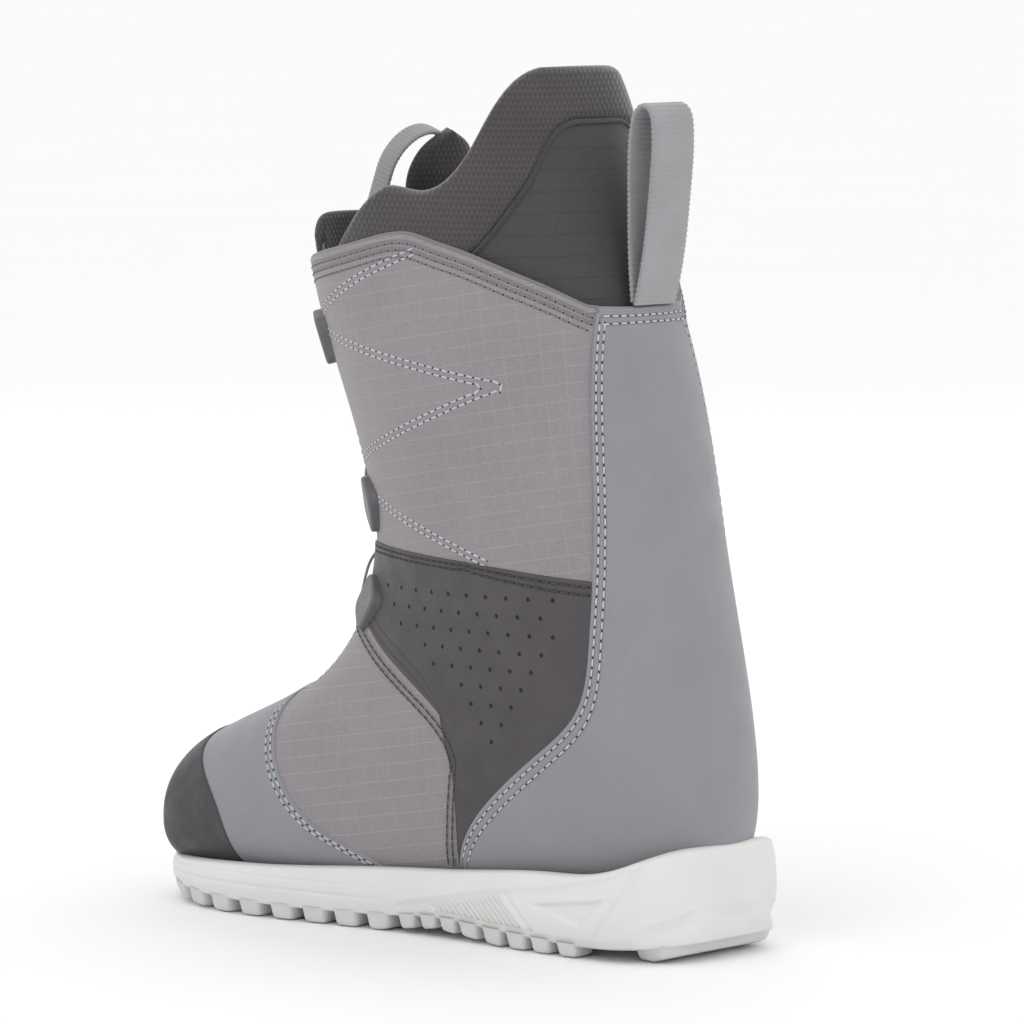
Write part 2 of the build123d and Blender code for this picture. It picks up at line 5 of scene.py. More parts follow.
import bmesh
import bpy
import numpy as np
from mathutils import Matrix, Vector

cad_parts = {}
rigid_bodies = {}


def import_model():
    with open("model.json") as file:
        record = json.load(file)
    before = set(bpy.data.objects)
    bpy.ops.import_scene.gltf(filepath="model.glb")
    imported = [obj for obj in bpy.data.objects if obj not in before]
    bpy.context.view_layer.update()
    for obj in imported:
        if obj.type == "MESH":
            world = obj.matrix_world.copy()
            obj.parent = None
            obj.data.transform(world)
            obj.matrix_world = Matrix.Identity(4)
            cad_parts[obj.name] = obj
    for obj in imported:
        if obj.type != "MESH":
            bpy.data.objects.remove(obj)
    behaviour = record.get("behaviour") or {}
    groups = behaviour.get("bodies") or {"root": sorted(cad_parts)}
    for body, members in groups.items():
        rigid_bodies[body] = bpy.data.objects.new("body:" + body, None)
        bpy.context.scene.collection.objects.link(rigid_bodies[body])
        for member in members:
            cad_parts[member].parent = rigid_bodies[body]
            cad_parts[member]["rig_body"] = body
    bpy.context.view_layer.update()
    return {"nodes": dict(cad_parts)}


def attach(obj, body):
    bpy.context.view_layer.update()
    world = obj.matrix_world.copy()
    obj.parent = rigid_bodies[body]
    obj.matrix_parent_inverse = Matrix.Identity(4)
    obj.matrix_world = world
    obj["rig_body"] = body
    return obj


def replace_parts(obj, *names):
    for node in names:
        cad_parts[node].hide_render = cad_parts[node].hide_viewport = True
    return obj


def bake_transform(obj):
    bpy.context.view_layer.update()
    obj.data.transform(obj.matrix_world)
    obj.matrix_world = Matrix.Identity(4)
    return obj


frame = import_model()
MM = 0.001


# ------------------------------------------------------------------ the last's surface
SECTIONS = np.array([
    (1, 230, 17, 229, 57, 27, .45, 11), (2, 214, 13, 210, 72, 39, .42, 8),
    (3, 183, 12, 180, 86, 47, .40, 4), (4, 136, 13, 157, 101, 49, .37, 1),
    (5, 80, 16, 142, 121, 47, .38, 0), (6, 14, 20, 135, 144, 45, .42, 0),
    (7, -32, 30, 134, 165, 45, .45, 0), (8, -43, 58, 137, 184, 46, .48, 0),
    (9, -37, 98, 142, 205, 49, .50, 0), (10, -25, 145, 150, 230, 53, .50, 0),
    (11, -13, 196, 159, 257, 57, .50, 0), (12, 0, 247, 165, 285, 59, .50, 0),
    (13, 13, 298, 168, 314, 56, .50, 0), (14, 30, 352, 162, 342, 47, .50, 0),
])
TOE_TIP = (238, 34)
FRONT_ROUNDNESS, REAR_ROUNDNESS = 2.2, 2.4
THROAT_HALF = 23.2

TOE_SEAM = [(224, 84), (206, 62), (190, 47), (182, 30), (183, 2)]
VAMP_SEAM = [(171, 112), (168, 90), (160, 70), (150, 54), (132, 39), (104, 24), (92, 2)]
BACKSTAY_SEAM = [(8, 272), (4, 235), (-3, 180), (-5, 125), (0, 98), (17, 81), (41, 62),
                 (58, 44), (68, 27)]
ANKLE_SEAM = [(160, 127), (131, 125), (107, 113), (82, 99), (63, 81), (61, 62), (63, 44),
              (68, 27)]
ANKLE_TOP = [(-4, 150), (30, 153), (70, 155), (170, 157)]
CUFF_TOP = [(7.4, 255.6), (16.5, 262), (32, 269.5), (50, 276.5), (64, 280.4), (76, 283.2),
            (83, 283), (98, 280), (116, 276), (146, 270.5), (175, 264)]
COLLAR_SEAM = [(8, 331), (24, 330), (28, 312), (33, 295), (43, 278), (64, 262), (175, 252)]
LINER_RIM = [(20, 353), (37, 350.3), (45, 340), (52.5, 318.5), (62, 304.8), (71, 301.3),
             (88, 302.5), (102, 293), (120, 274), (175, 266)]
SOLE_OUTLINE = [
    (-45, 0), (-42, 26), (-28, 39), (0, 44), (45, 43.5), (95, 43.5), (145, 50),
    (180, 52.5), (212, 46), (232, 31), (243, 11), (242, -12), (229, -32), (200, -46),
    (165, -51), (120, -47.5), (70, -43), (0, -44), (-28, -39), (-42, -26),
]
SOLE_TOP = [(-60, 46), (-44, 45), (-34, 42), (-16, 35.5), (20, 32), (60, 28.5), (110, 25),
            (160, 21.5), (195, 20), (225, 18.5), (260, 19)]
PLATE_BOTTOM = [(-60, 11), (-45, 7.5), (-30, 5.5), (30, 5.5), (52, 6.5), (75, 7.6), (98, 6.3),
                (120, 5.5), (180, 5.5), (212, 6.8), (255, 11)]


def natural_spline(knots, values):
    """Natural cubic spline through the values at the knots."""
    t, y = np.asarray(knots, float), np.asarray(values, float)
    h, n = np.diff(t), len(t)
    matrix, right = np.eye(n), np.zeros(n)
    for i in range(1, n - 1):
        matrix[i, i - 1:i + 2] = h[i - 1], 2 * (h[i - 1] + h[i]), h[i]
        right[i] = 6 * ((y[i + 1] - y[i]) / h[i] - (y[i] - y[i - 1]) / h[i - 1])
    m = np.linalg.solve(matrix, right)

    def value(at):
        at = np.asarray(at, float)
        i = np.clip(np.searchsorted(t, at, side="right") - 1, 0, n - 2)
        a, b = (t[i + 1] - at) / h[i], (at - t[i]) / h[i]
        curve = (a**3 - a) * m[i] + (b**3 - b) * m[i + 1]
        return a * y[i] + b * y[i + 1] + curve * h[i]**2 / 6

    return value


def mirrored(column, middle, sign):
    """A column of the sections run backwards, a middle value, then the column itself."""
    return np.concatenate([sign * column[::-1], [middle], column])


NUMBERS = mirrored(SECTIONS[:, 0], 0, -1)
PROFILE_X = natural_spline(
    NUMBERS, np.concatenate([SECTIONS[::-1, 1], [TOE_TIP[0]], SECTIONS[:, 3]]))
PROFILE_Z = natural_spline(
    NUMBERS, np.concatenate([SECTIONS[::-1, 2], [TOE_TIP[1]], SECTIONS[:, 4]]))
HALF_WIDTH = natural_spline(NUMBERS, mirrored(SECTIONS[:, 5], 0, -1))
WIDEST = natural_spline(NUMBERS, mirrored(SECTIONS[:, 6], SECTIONS[0, 6], 1))
SHIFT = natural_spline(NUMBERS, mirrored(SECTIONS[:, 7], SECTIONS[0, 7], 1))


def bare(k, phi):
    """Point of the last: section number k, angle phi (0 the front, 90 degrees medial)."""
    k, phi = np.broadcast_arrays(np.asarray(k, float), np.asarray(phi, float))
    c, s = np.cos(phi), np.sin(phi)
    power = 2 / np.where(c > 0, FRONT_ROUNDNESS, REAR_ROUNDNESS)
    cc = np.sign(c) * np.abs(c)**power
    ss = np.sign(s) * np.abs(s)**power
    m = WIDEST(k)
    t = np.where(c > 0, m + (1 - m) * cc, m + m * cc)
    rx, rz = PROFILE_X(-k), PROFILE_Z(-k)
    return np.stack([rx + (PROFILE_X(k) - rx) * t, HALF_WIDTH(k) * ss + SHIFT(k),
                     rz + (PROFILE_Z(k) - rz) * t], -1)


def normals(k, phi):
    """Outward normal of the last, from differences along and around it."""
    step = 0.01
    along = bare(np.asarray(k) + step, phi) - bare(np.asarray(k) - step, phi)
    around = bare(k, np.asarray(phi) + step) - bare(k, np.asarray(phi) - step)
    n = np.cross(around, along)
    return n / np.maximum(np.linalg.norm(n, axis=-1, keepdims=True), 1e-9)


def skin(k, phi, lift=0.0):
    """Point at a height over the last."""
    return bare(k, phi) + normals(k, phi) * np.asarray(lift, float)[..., None]


def angle_at(k, y):
    """Angle on the front half where the last is y from the middle plane."""
    off = np.asarray(y) - SHIFT(k)
    share = np.clip(np.abs(off) / HALF_WIDTH(k), 0, 1)
    return np.sign(off) * np.arcsin(share**(FRONT_ROUNDNESS / 2))


def curve_through(points, count):
    """Points evenly spread along a smooth curve through the given ones."""
    p = np.asarray(points, float)
    at = np.concatenate([[0], np.cumsum(np.linalg.norm(np.diff(p, axis=0), axis=1))])
    where = np.linspace(0, at[-1], count)
    return np.stack([natural_spline(at, column)(where) for column in p.T], -1)


TABLE_K = np.linspace(0.02, 14, 2400)
TABLE_B = np.stack([PROFILE_X(-TABLE_K), PROFILE_Z(-TABLE_K)], -1)
TABLE_F = np.stack([PROFILE_X(TABLE_K), PROFILE_Z(TABLE_K)], -1)


def locate(points):
    """Section numbers and angles of side-view points (x, z) that lie within the outline."""
    found = []
    chord = TABLE_F - TABLE_B
    for p in np.asarray(points, float):
        away = p - TABLE_B
        side = away[:, 0] * chord[:, 1] - away[:, 1] * chord[:, 0]
        share = (away * chord).sum(1) / (chord**2).sum(1)
        for i in np.nonzero(side[:-1] * side[1:] <= 0)[0]:
            if 0 <= share[i] <= 1:
                w = side[i] / (side[i] - side[i + 1] + 1e-12)
                k = TABLE_K[i] + w * (TABLE_K[i + 1] - TABLE_K[i])
                t = share[i] + w * (share[i + 1] - share[i])
                m = float(WIDEST(k))
                if t >= m:
                    phi = np.arccos(((t - m) / (1 - m))**(FRONT_ROUNDNESS / 2))
                else:
                    phi = np.pi - np.arccos(((m - t) / m)**(REAR_ROUNDNESS / 2))
                found.append((k, phi))
                break
    return np.array(found)


def by_angle(points):
    """A side-view seam as section number for each angle."""
    found = locate(curve_through(points, 120))
    found = found[np.argsort(found[:, 1])]
    return lambda phi: np.interp(np.abs(phi), found[:, 1], found[:, 0])


def by_section(points):
    """A side-view seam as angle for each section number."""
    found = locate(curve_through(points, 120))
    found = found[np.argsort(found[:, 0])]
    return lambda k: np.interp(k, found[:, 0], found[:, 1])


toe_line, vamp_line = by_angle(TOE_SEAM), by_angle(VAMP_SEAM)
ankle_line, ankle_top = by_angle(ANKLE_SEAM), by_angle(ANKLE_TOP)
cuff_top, collar_line, rim_line = by_angle(CUFF_TOP), by_angle(COLLAR_SEAM), by_angle(LINER_RIM)
backstay_line = by_section(BACKSTAY_SEAM)
deg = np.radians


# ------------------------------------------------------------------------- mesh makers
def new_object(name, points, faces, material, body="root", slot=None, edge=None):
    """A mesh object from points in mm, riding on a body."""
    mesh = bpy.data.meshes.new(name)
    corners = faces.tolist() if isinstance(faces, np.ndarray) else faces
    mesh.from_pydata(np.asarray(points, float).reshape(-1, 3) * MM, [], corners)
    mesh.polygons.foreach_set("use_smooth", np.ones(len(mesh.polygons), bool))
    if edge is not None:
        mesh.attributes.new("seam", "FLOAT", "POINT").data.foreach_set(
            "value", np.asarray(edge, np.float32).ravel())
    mesh.validate()
    piece = bpy.data.objects.new(name, mesh)
    bpy.context.scene.collection.objects.link(piece)
    for each in material if isinstance(material, (list, tuple)) else [material]:
        mesh.materials.append(each)
    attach(piece, body)
    return piece


def grid_faces(rows, cols, start=0, flip=False, wrap=False):
    """Quads of a grid of points, rows by cols, numbered from start."""
    last = cols if wrap else cols - 1
    i, j = np.meshgrid(np.arange(rows - 1), np.arange(last), indexing="ij")
    right = (j + 1) % cols
    quads = np.stack([i * cols + j, i * cols + right, (i + 1) * cols + right,
                      (i + 1) * cols + j], -1).reshape(-1, 4) + start
    return quads[:, ::-1] if flip else quads


def stations(count, length, roll):
    """Shares of a line, closer together near both ends where the edge rolls over."""
    length = np.maximum(np.asarray(length, float), 1e-3)
    r = np.minimum(roll, 0.3 * length)
    bend = (1 - np.cos(np.linspace(0, np.pi / 2, 6)))[:, None]
    middle = np.linspace(0, 1, count)[1:-1, None]
    length, r = np.atleast_1d(length)[None], np.atleast_1d(r)[None]
    rows = [bend * r, r + middle * (length - 2 * r), length - (bend * r)[::-1]]
    return np.concatenate(rows) / length


def lengths(ground):
    """Length of a patch up each column and across each row."""
    s = np.linspace(0, 1, 61)
    u, v = np.meshgrid(s, s, indexing="ij")
    p = bare(*ground(u, v))
    up = np.linalg.norm(np.diff(p, axis=0), axis=-1).sum(0)
    across = np.linalg.norm(np.diff(p, axis=1), axis=-1).sum(1)
    return s, up, across


def panel(name, ground, pitch, top, material, low=-0.8, roll=1.3, rolled="tbfr", sewn="",
          back=None, crown=None, **kwargs):
    """A patch over the last, from shares (u up, v back) to section and angle, with rolled edges.
    Its borders are t top, b bottom, f front and r rear. With back it is closed behind."""
    s, up, across = lengths(ground)
    rows, cols = int(up.max() / pitch) + 4, int(across.max() / pitch) + 4
    u0, v0 = stations(rows, up.mean(), roll)[:, 0], stations(cols, across.mean(), roll)[:, 0]
    u = stations(rows, np.interp(v0, s, up), roll)
    v = stations(cols, np.interp(u0, s, across), roll).T
    up_here, across_here = np.interp(v, s, up), np.interp(u, s, across)
    distance = {"b": u * up_here, "t": (1 - u) * up_here,
                "f": v * across_here, "r": (1 - v) * across_here}
    near = np.minimum.reduce([distance[b] for b in rolled] + [np.full(u.shape, 99.0)])
    seam = np.minimum.reduce([distance[b] for b in sewn] + [np.full(u.shape, 99.0)])
    rise = np.sqrt(np.clip(1 - (1 - np.minimum(near / roll, 1))**2, 0, 1))
    lift = low + (top - low) * rise
    if crown:
        lift = lift + crown(u, v) * rise
    k, phi = ground(u, v)
    front = skin(k, phi, lift)
    n = normals(k, phi)
    first = np.cross(front[1:-1, 2:] - front[1:-1, :-2], front[2:, 1:-1] - front[:-2, 1:-1])
    flip = (first * n[1:-1, 1:-1]).sum() < 0
    shape = u.shape
    faces = grid_faces(*shape, flip=flip)
    points, seams = front.reshape(-1, 3), seam.ravel()
    if back is not None:
        rear = skin(k, phi, low - (low - back) * rise)
        faces = np.concatenate([faces, grid_faces(*shape, start=len(points), flip=not flip)])
        points = np.concatenate([points, rear.reshape(-1, 3)])
        seams = np.concatenate([seams, seams])
    piece = new_object(name, points, faces, material, edge=seams, **kwargs)
    if back is not None:
        weld(piece)
    return piece


def weld(piece):
    """Joins points that lie on each other."""
    work = bmesh.new()
    work.from_mesh(piece.data)
    bmesh.ops.remove_doubles(work, verts=work.verts, dist=2e-6)
    work.to_mesh(piece.data)
    work.free()


def frames(path, up):
    """Tangent, side and up directions along a path, up staying near the given directions."""
    tangent = np.gradient(path, axis=0)
    tangent /= np.linalg.norm(tangent, axis=1, keepdims=True)
    side = np.cross(tangent, up)
    side /= np.maximum(np.linalg.norm(side, axis=1, keepdims=True), 1e-9)
    return tangent, side, np.cross(side, tangent)


def swept(name, path, up, profile, material, scale=None, **kwargs):
    """A closed section (side, up) swept along a path, with both ends closed."""
    path = np.asarray(path, float)
    up = np.broadcast_to(np.asarray(up, float), path.shape)
    tangent, side, rise = frames(path, up)
    n, sides = len(path), len(profile)
    size = np.ones((n, 2)) if scale is None else np.asarray(scale, float)
    rings = (path[:, None] + side[:, None] * (profile[None, :, 0:1] * size[:, None, 0:1])
             + rise[:, None] * (profile[None, :, 1:2] * size[:, None, 1:2]))
    points = np.concatenate([rings.reshape(-1, 3), path[:1], path[-1:]])
    faces = grid_faces(n, sides, wrap=True).tolist()
    for i in range(sides):
        after = (i + 1) % sides
        faces.append([n * sides, after, i])
        faces.append([n * sides + 1, (n - 1) * sides + i, (n - 1) * sides + after])
    return new_object(name, points, faces, material, **kwargs)


def circle(radius, sides=12, squeeze=1.0):
    """Points of a circle, its second axis multiplied by squeeze."""
    a = np.linspace(0, 2 * np.pi, sides, endpoint=False)
    return np.stack([radius * np.cos(a), radius * squeeze * np.sin(a)], -1)


def rounded_strip(width, thick, per_side=8):
    """Section of a flat strap with round edges."""
    a = np.linspace(-np.pi / 2, np.pi / 2, 6)
    r, half = thick / 2, width / 2 - thick / 2
    right = np.stack([half + r * np.cos(a), r * np.sin(a)], -1)
    flat = np.stack([np.linspace(half, -half, per_side)[1:-1], np.full(per_side - 2, r)], -1)
    return np.concatenate([right, flat, -right, -flat])


def even(points, pitch):
    """The same path with points a fixed distance apart, and the directions carried along."""
    p = np.asarray(points, float)
    at = np.concatenate([[0], np.cumsum(np.linalg.norm(np.diff(p[:, :3], axis=0), axis=1))])
    count = max(int(at[-1] / pitch), 2)
    where = (np.arange(count) + 0.5) * at[-1] / count
    return np.stack([np.interp(where, at, column) for column in p.T], -1)


THREAD_LENGTH, THREAD_PITCH = 3.1, 4.0
SEWN_DISTANCES = (2.4, 5.0)


def stitching(name, rows, material, body="root", pitch=THREAD_PITCH, length=THREAD_LENGTH,
              radius=0.42, holes=True):
    """Rows of sewn thread; each row is section numbers, angles and a height over the last."""
    lengthwise = np.array([-0.5, -0.42, -0.2, 0.2, 0.42, 0.5])
    swell = np.array([0.05, 0.7, 1.0, 1.0, 0.7, 0.05])
    around = np.linspace(0, 2 * np.pi, 5, endpoint=False)
    ring_faces = grid_faces(6, 5, wrap=True)
    disc = np.linspace(0, 2 * np.pi, 6, endpoint=False)
    points, faces, kinds, count = [], [], [], 0
    for k, phi, lift in rows:
        place = np.concatenate([skin(k, phi, lift + 0 * np.asarray(k)), normals(k, phi)], 1)
        if len(place) < 2:
            continue
        spots = even(place, pitch)
        centre, n = spots[:, :3], spots[:, 3:]
        tangent = np.gradient(centre, axis=0)
        tangent /= np.linalg.norm(tangent, axis=1, keepdims=True)
        side = np.cross(n, tangent)
        for c, t, s, up in zip(centre, tangent, side, n):
            body_points = (c + t * (lengthwise * length)[:, None, None]
                           + s * (np.cos(around)[None, :, None] * (radius * swell)[:, None, None])
                           + up * ((np.sin(around)[None, :, None] * 0.7 + 0.15)
                                   * (radius * swell)[:, None, None]
                                   - 0.35 * np.abs(lengthwise * 2)[:, None, None]**3 * radius))
            points.append(body_points.reshape(-1, 3))
            faces.append(ring_faces + count)
            kinds.append(np.zeros(len(ring_faces), int))
            count += 30
            if holes:
                # a flat near-black disc after each stitch: painted shade standing for the needle hole
                middle = c + t * pitch / 2
                rim = (middle + s * np.cos(disc)[:, None] * 0.42
                       + t * np.sin(disc)[:, None] * 0.46 + up * 0.05)
                points.append(rim)
                faces.append(np.array([[0, 1, 2, 3], [0, 3, 4, 5]]) + count)
                kinds.append(np.ones(2, int))
                count += 6
    piece = new_object(name, np.concatenate(points), np.concatenate(faces), material,
                       body=body)
    piece.data.polygons.foreach_set("material_index", np.concatenate(kinds))
    return piece


def along_border(ground, border, distance, low=0.03, high=0.97):
    """Sections and angles of the line a distance inside a border of a patch."""
    s, up, across = lengths(ground)
    t = np.linspace(low, high, 120)
    if border in "fr":
        v = distance / np.interp(t, s, across)
        return ground(t, v if border == "f" else 1 - v)
    u = distance / np.interp(t, s, up)
    return ground(u if border == "b" else 1 - u, t)


def inside_border(ground, distance, side):
    """The line a distance square to a side patch's front border, found again from the side."""
    k, phi = along_border(ground, "b", 0.0)
    border, n = skin(k, phi), normals(k, phi)
    tangent = np.gradient(border, axis=0)
    tangent /= np.linalg.norm(tangent, axis=1, keepdims=True)
    inward = np.cross(n, tangent) * -side
    found = locate((border + inward * distance)[:, [0, 2]])
    return found[:, 0], side * found[:, 1]


# --------------------------------------------------------------------------- materials
class Paint:
    """A material and its node graph; the graph's socket makers return output sockets."""

    def __init__(self, name, roughness=0.6, **inputs):
        self.material = bpy.data.materials.new(name)
        self.material.use_nodes = True
        self.tree = self.material.node_tree
        self.shader = self.tree.nodes["Principled BSDF"]
        self.shader.inputs["Roughness"].default_value = roughness
        for key, value in inputs.items():
            self.shader.inputs[key.replace("_", " ")].default_value = value
        self.place = self.node("ShaderNodeTexCoord").outputs["Object"]
        self.height = None

    def node(self, kind, **settings):
        """A new node of a kind."""
        made = self.tree.nodes.new(kind)
        for key, value in settings.items():
            setattr(made, key, value)
        return made

    def link(self, source, socket):
        """Feeds a socket from a number or from another socket."""
        if isinstance(source, (int, float)):
            socket.default_value = source
        else:
            self.tree.links.new(source, socket)

    def maths(self, operation, a, b=0.0, c=None):
        """One sum on two or three values."""
        made = self.node("ShaderNodeMath", operation=operation)
        self.link(a, made.inputs[0])
        self.link(b, made.inputs[1])
        if c is not None:
            self.link(c, made.inputs[2])
        return made.outputs[0]

    def axes(self):
        """The object's own x, y and z in metres."""
        made = self.node("ShaderNodeSeparateXYZ")
        self.link(self.place, made.inputs[0])
        return made.outputs

    def noise(self, size, detail=3.0, rough=0.6, stretch=(1, 1, 1)):
        """Cloudy pattern with features of a size in mm."""
        scaled = self.node("ShaderNodeMapping")
        scaled.inputs["Scale"].default_value = stretch
        self.link(self.place, scaled.inputs[0])
        made = self.node("ShaderNodeTexNoise")
        self.link(scaled.outputs[0], made.inputs["Vector"])
        made.inputs["Scale"].default_value = 1000 / size
        made.inputs["Detail"].default_value = detail
        made.inputs["Roughness"].default_value = rough
        return made.outputs["Fac"]

    def cells(self, size, feature="F1", stretch=(1, 1, 1)):
        """Distance to the nearest of scattered points, in cells of a size in mm."""
        scaled = self.node("ShaderNodeMapping")
        scaled.inputs["Scale"].default_value = stretch
        self.link(self.place, scaled.inputs[0])
        made = self.node("ShaderNodeTexVoronoi", feature=feature)
        self.link(scaled.outputs[0], made.inputs["Vector"])
        made.inputs["Scale"].default_value = 1000 / size
        return made.outputs["Distance"]

    def stretched(self, value, low, high, to_low=0.0, to_high=1.0):
        """A value smoothly remapped from one range to another."""
        made = self.node("ShaderNodeMapRange", interpolation_type="SMOOTHSTEP")
        self.link(value, made.inputs["Value"])
        for key, number in (("From Min", low), ("From Max", high),
                            ("To Min", to_low), ("To Max", to_high)):
            made.inputs[key].default_value = number
        return made.outputs[0]

    def blend(self, share, first, second):
        """A share of the second colour over the first."""
        made = self.node("ShaderNodeMix", data_type="RGBA")
        self.link(share, made.inputs["Factor"])
        for socket, colour in ((made.inputs["A"], first), (made.inputs["B"], second)):
            if isinstance(colour, tuple):
                socket.default_value = (*colour, 1)
            else:
                self.link(colour, socket)
        return made.outputs["Result"]

    def colour(self, source):
        """Sets the base colour."""
        self.link(source, self.shader.inputs["Base Color"])

    def rough(self, value, low, high):
        """Sets the roughness from a pattern, within a range."""
        self.link(self.stretched(value, 0.3, 0.7, low, high), self.shader.inputs["Roughness"])

    def bump(self, value, depth):
        """Adds relief of a depth in mm."""
        made = self.node("ShaderNodeBump")
        made.inputs["Distance"].default_value = depth * MM
        self.link(value, made.inputs["Height"])
        if self.height is not None:
            self.link(self.height, made.inputs["Normal"])
        self.height = made.outputs[0]
        self.link(self.height, self.shader.inputs["Normal"])

    def seam(self):
        """Distance to the nearest sewn border, in mm."""
        made = self.node("ShaderNodeAttribute", attribute_name="seam")
        return made.outputs["Fac"]

    def groove(self, at, width=0.9):
        """1 away from a sewn line and 0 in it."""
        off = self.maths("ABSOLUTE", self.maths("SUBTRACT", self.seam(), at))
        return self.stretched(off, 0.0, width)

    def stripes(self, value, period, width):
        """1 on thin lines a period apart in mm, else 0."""
        phase = self.maths("FRACT", self.maths("DIVIDE", value, period * MM))
        off = self.maths("ABSOLUTE", self.maths("SUBTRACT", phase, 0.5))
        return self.stretched(off, 0.0, width / period, 1.0, 0.0)

    def wave(self, value, period):
        """Sine of a length over a period in mm."""
        turned = self.maths("MULTIPLY", value, 2 * np.pi / (period * MM))
        return self.maths("SINE", turned)


def shaded(paint, base, spread, mottle=45.0, grain=0.55, grain_share=0.35):
    """Base colour with slow mottling and fine grain."""
    light = tuple(min(1.0, c * (1 + spread)) for c in base)
    dark = tuple(c * (1 - spread) for c in base)
    slow = paint.stretched(paint.noise(mottle, 3), 0.3, 0.7)
    fine = paint.stretched(paint.noise(grain, 2), 0.25, 0.75)
    mixed = paint.maths("ADD", paint.maths("MULTIPLY", slow, 1 - grain_share),
                        paint.maths("MULTIPLY", fine, grain_share))
    return paint.blend(mixed, dark, light)


def sewn(paint, colour, depth=0.35):
    """Darkens the two sewn lines near a border with painted shade in their grooves, and sinks them."""
    first, second = (paint.groove(distance) for distance in SEWN_DISTANCES)
    both = paint.maths("MULTIPLY", first, second)
    paint.bump(both, depth)
    # painted shade: the sunk stitch grooves are pulled towards near-black
    shade = paint.blend(0.8, colour, (0.02, 0.02, 0.022))
    groove_shade = paint.maths("MULTIPLY", paint.maths("SUBTRACT", 1.0, both), 0.35)
    return paint.blend(groove_shade, colour, shade)


def smooth_synthetic():
    """Smooth coated synthetic of the vamp and the backstay."""
    paint = Paint("smooth_synthetic", 0.52, Sheen_Weight=0.12, Sheen_Roughness=0.5)
    colour = shaded(paint, (0.228, 0.235, 0.250), 0.09, grain_share=0.6)
    paint.bump(paint.noise(0.5, 3), 0.06)
    paint.bump(paint.noise(9, 2), 0.10)
    paint.colour(sewn(paint, colour))
    paint.rough(paint.noise(14, 3), 0.46, 0.60)
    return paint.material


def ripstop(name, base, line_colour, slope, period, upright):
    """Woven cloth with thicker threads in a grid: slope is the rise of the lines to the rear."""
    paint = Paint(name, 0.72, Sheen_Weight=0.25, Sheen_Roughness=0.45)
    x, y, z = paint.axes()
    across = paint.maths("ADD", z, paint.maths("MULTIPLY", x, slope))
    along = paint.maths("SUBTRACT", x, paint.maths("MULTIPLY", z, slope))
    waver = paint.maths("MULTIPLY", paint.maths("SUBTRACT", paint.noise(16, 2), 0.5), 1.1 * MM)
    lines = paint.stripes(paint.maths("ADD", across, waver), period, 0.42)
    posts = paint.stripes(along, period, 0.42)
    grid = paint.maths("MAXIMUM", lines, paint.maths("MULTIPLY", posts, upright))
    weave = paint.maths("MULTIPLY", paint.wave(across, 0.75), paint.wave(along, 0.75))
    colour = shaded(paint, base, 0.17, 38, 0.65, 0.75)
    threads = paint.stretched(weave, -0.8, 0.8)
    colour = paint.blend(paint.maths("MULTIPLY", threads, 0.22), colour,
                         tuple(min(1, c * 1.45) for c in base))
    colour = paint.blend(paint.maths("MULTIPLY", grid, 0.42), colour, line_colour)
    paint.bump(weave, 0.05)
    paint.bump(grid, 0.13)
    paint.bump(paint.noise(12, 2), 0.25)
    paint.colour(sewn(paint, colour))
    return paint.material


def perforated_dark():
    """Dark pebbled synthetic of the ankle panels."""
    paint = Paint("perforated_dark", 0.58, Sheen_Weight=0.1)
    colour = shaded(paint, (0.054, 0.047, 0.053), 0.16, 30, 0.6, 0.5)
    paint.bump(paint.cells(0.9), 0.07)
    paint.colour(sewn(paint, colour))
    paint.rough(paint.noise(11, 3), 0.5, 0.66)
    return paint.material


def toe_rubber():
    """Dark rubber with light scuffs."""
    paint = Paint("toe_rubber", 0.5)
    colour = shaded(paint, (0.040, 0.040, 0.044), 0.2, 22, 0.8, 0.4)
    scuff = paint.stretched(paint.noise(3.2, 5, 0.75, (1, 1, 3)), 0.62, 0.74)
    colour = paint.blend(paint.maths("MULTIPLY", scuff, 0.25), colour, (0.12, 0.12, 0.13))
    paint.bump(paint.cells(1.1), 0.09)
    paint.colour(colour)
    paint.rough(paint.noise(8, 3), 0.42, 0.6)
    return paint.material


def knit(name, base, size=2.4):
    """Spacer knit with a honeycomb of small pits."""
    paint = Paint(name, 0.85, Sheen_Weight=0.5, Sheen_Roughness=0.4)
    x, y, z = paint.axes()
    run = paint.maths("ADD", x, y)
    first = paint.wave(paint.maths("ADD", paint.maths("MULTIPLY", run, 0.87),
                                   paint.maths("MULTIPLY", z, 0.5)), size)
    second = paint.wave(paint.maths("SUBTRACT", paint.maths("MULTIPLY", run, 0.87),
                                    paint.maths("MULTIPLY", z, 0.5)), size)
    third = paint.wave(z, size)
    comb = paint.stretched(paint.maths("ADD", paint.maths("ADD", first, second), third),
                           -1.4, 1.6)
    colour = shaded(paint, base, 0.18, 30, 0.5, 0.4)
    colour = paint.blend(paint.maths("MULTIPLY", comb, 0.6), colour,
                         tuple(c * 0.45 for c in base))
    paint.bump(paint.maths("SUBTRACT", 1.0, comb), 0.17)
    paint.bump(paint.noise(0.4, 2), 0.05)
    paint.colour(colour)
    return paint.material


def cloth(name, base, weave=0.9, spread=0.15, roughness=0.8, sheen=0.3):
    """Plain woven cloth."""
    paint = Paint(name, roughness, Sheen_Weight=sheen, Sheen_Roughness=0.45)
    x, y, z = paint.axes()
    cross = paint.maths("MULTIPLY", paint.wave(paint.maths("ADD", x, y), weave),
                        paint.wave(z, weave))
    colour = shaded(paint, base, spread, 25, 0.5, 0.5)
    colour = paint.blend(paint.stretched(cross, -0.6, 0.9, 0.0, 0.35), colour,
                         tuple(c * 0.6 for c in base))
    paint.bump(cross, 0.1)
    paint.colour(colour)
    return paint.material


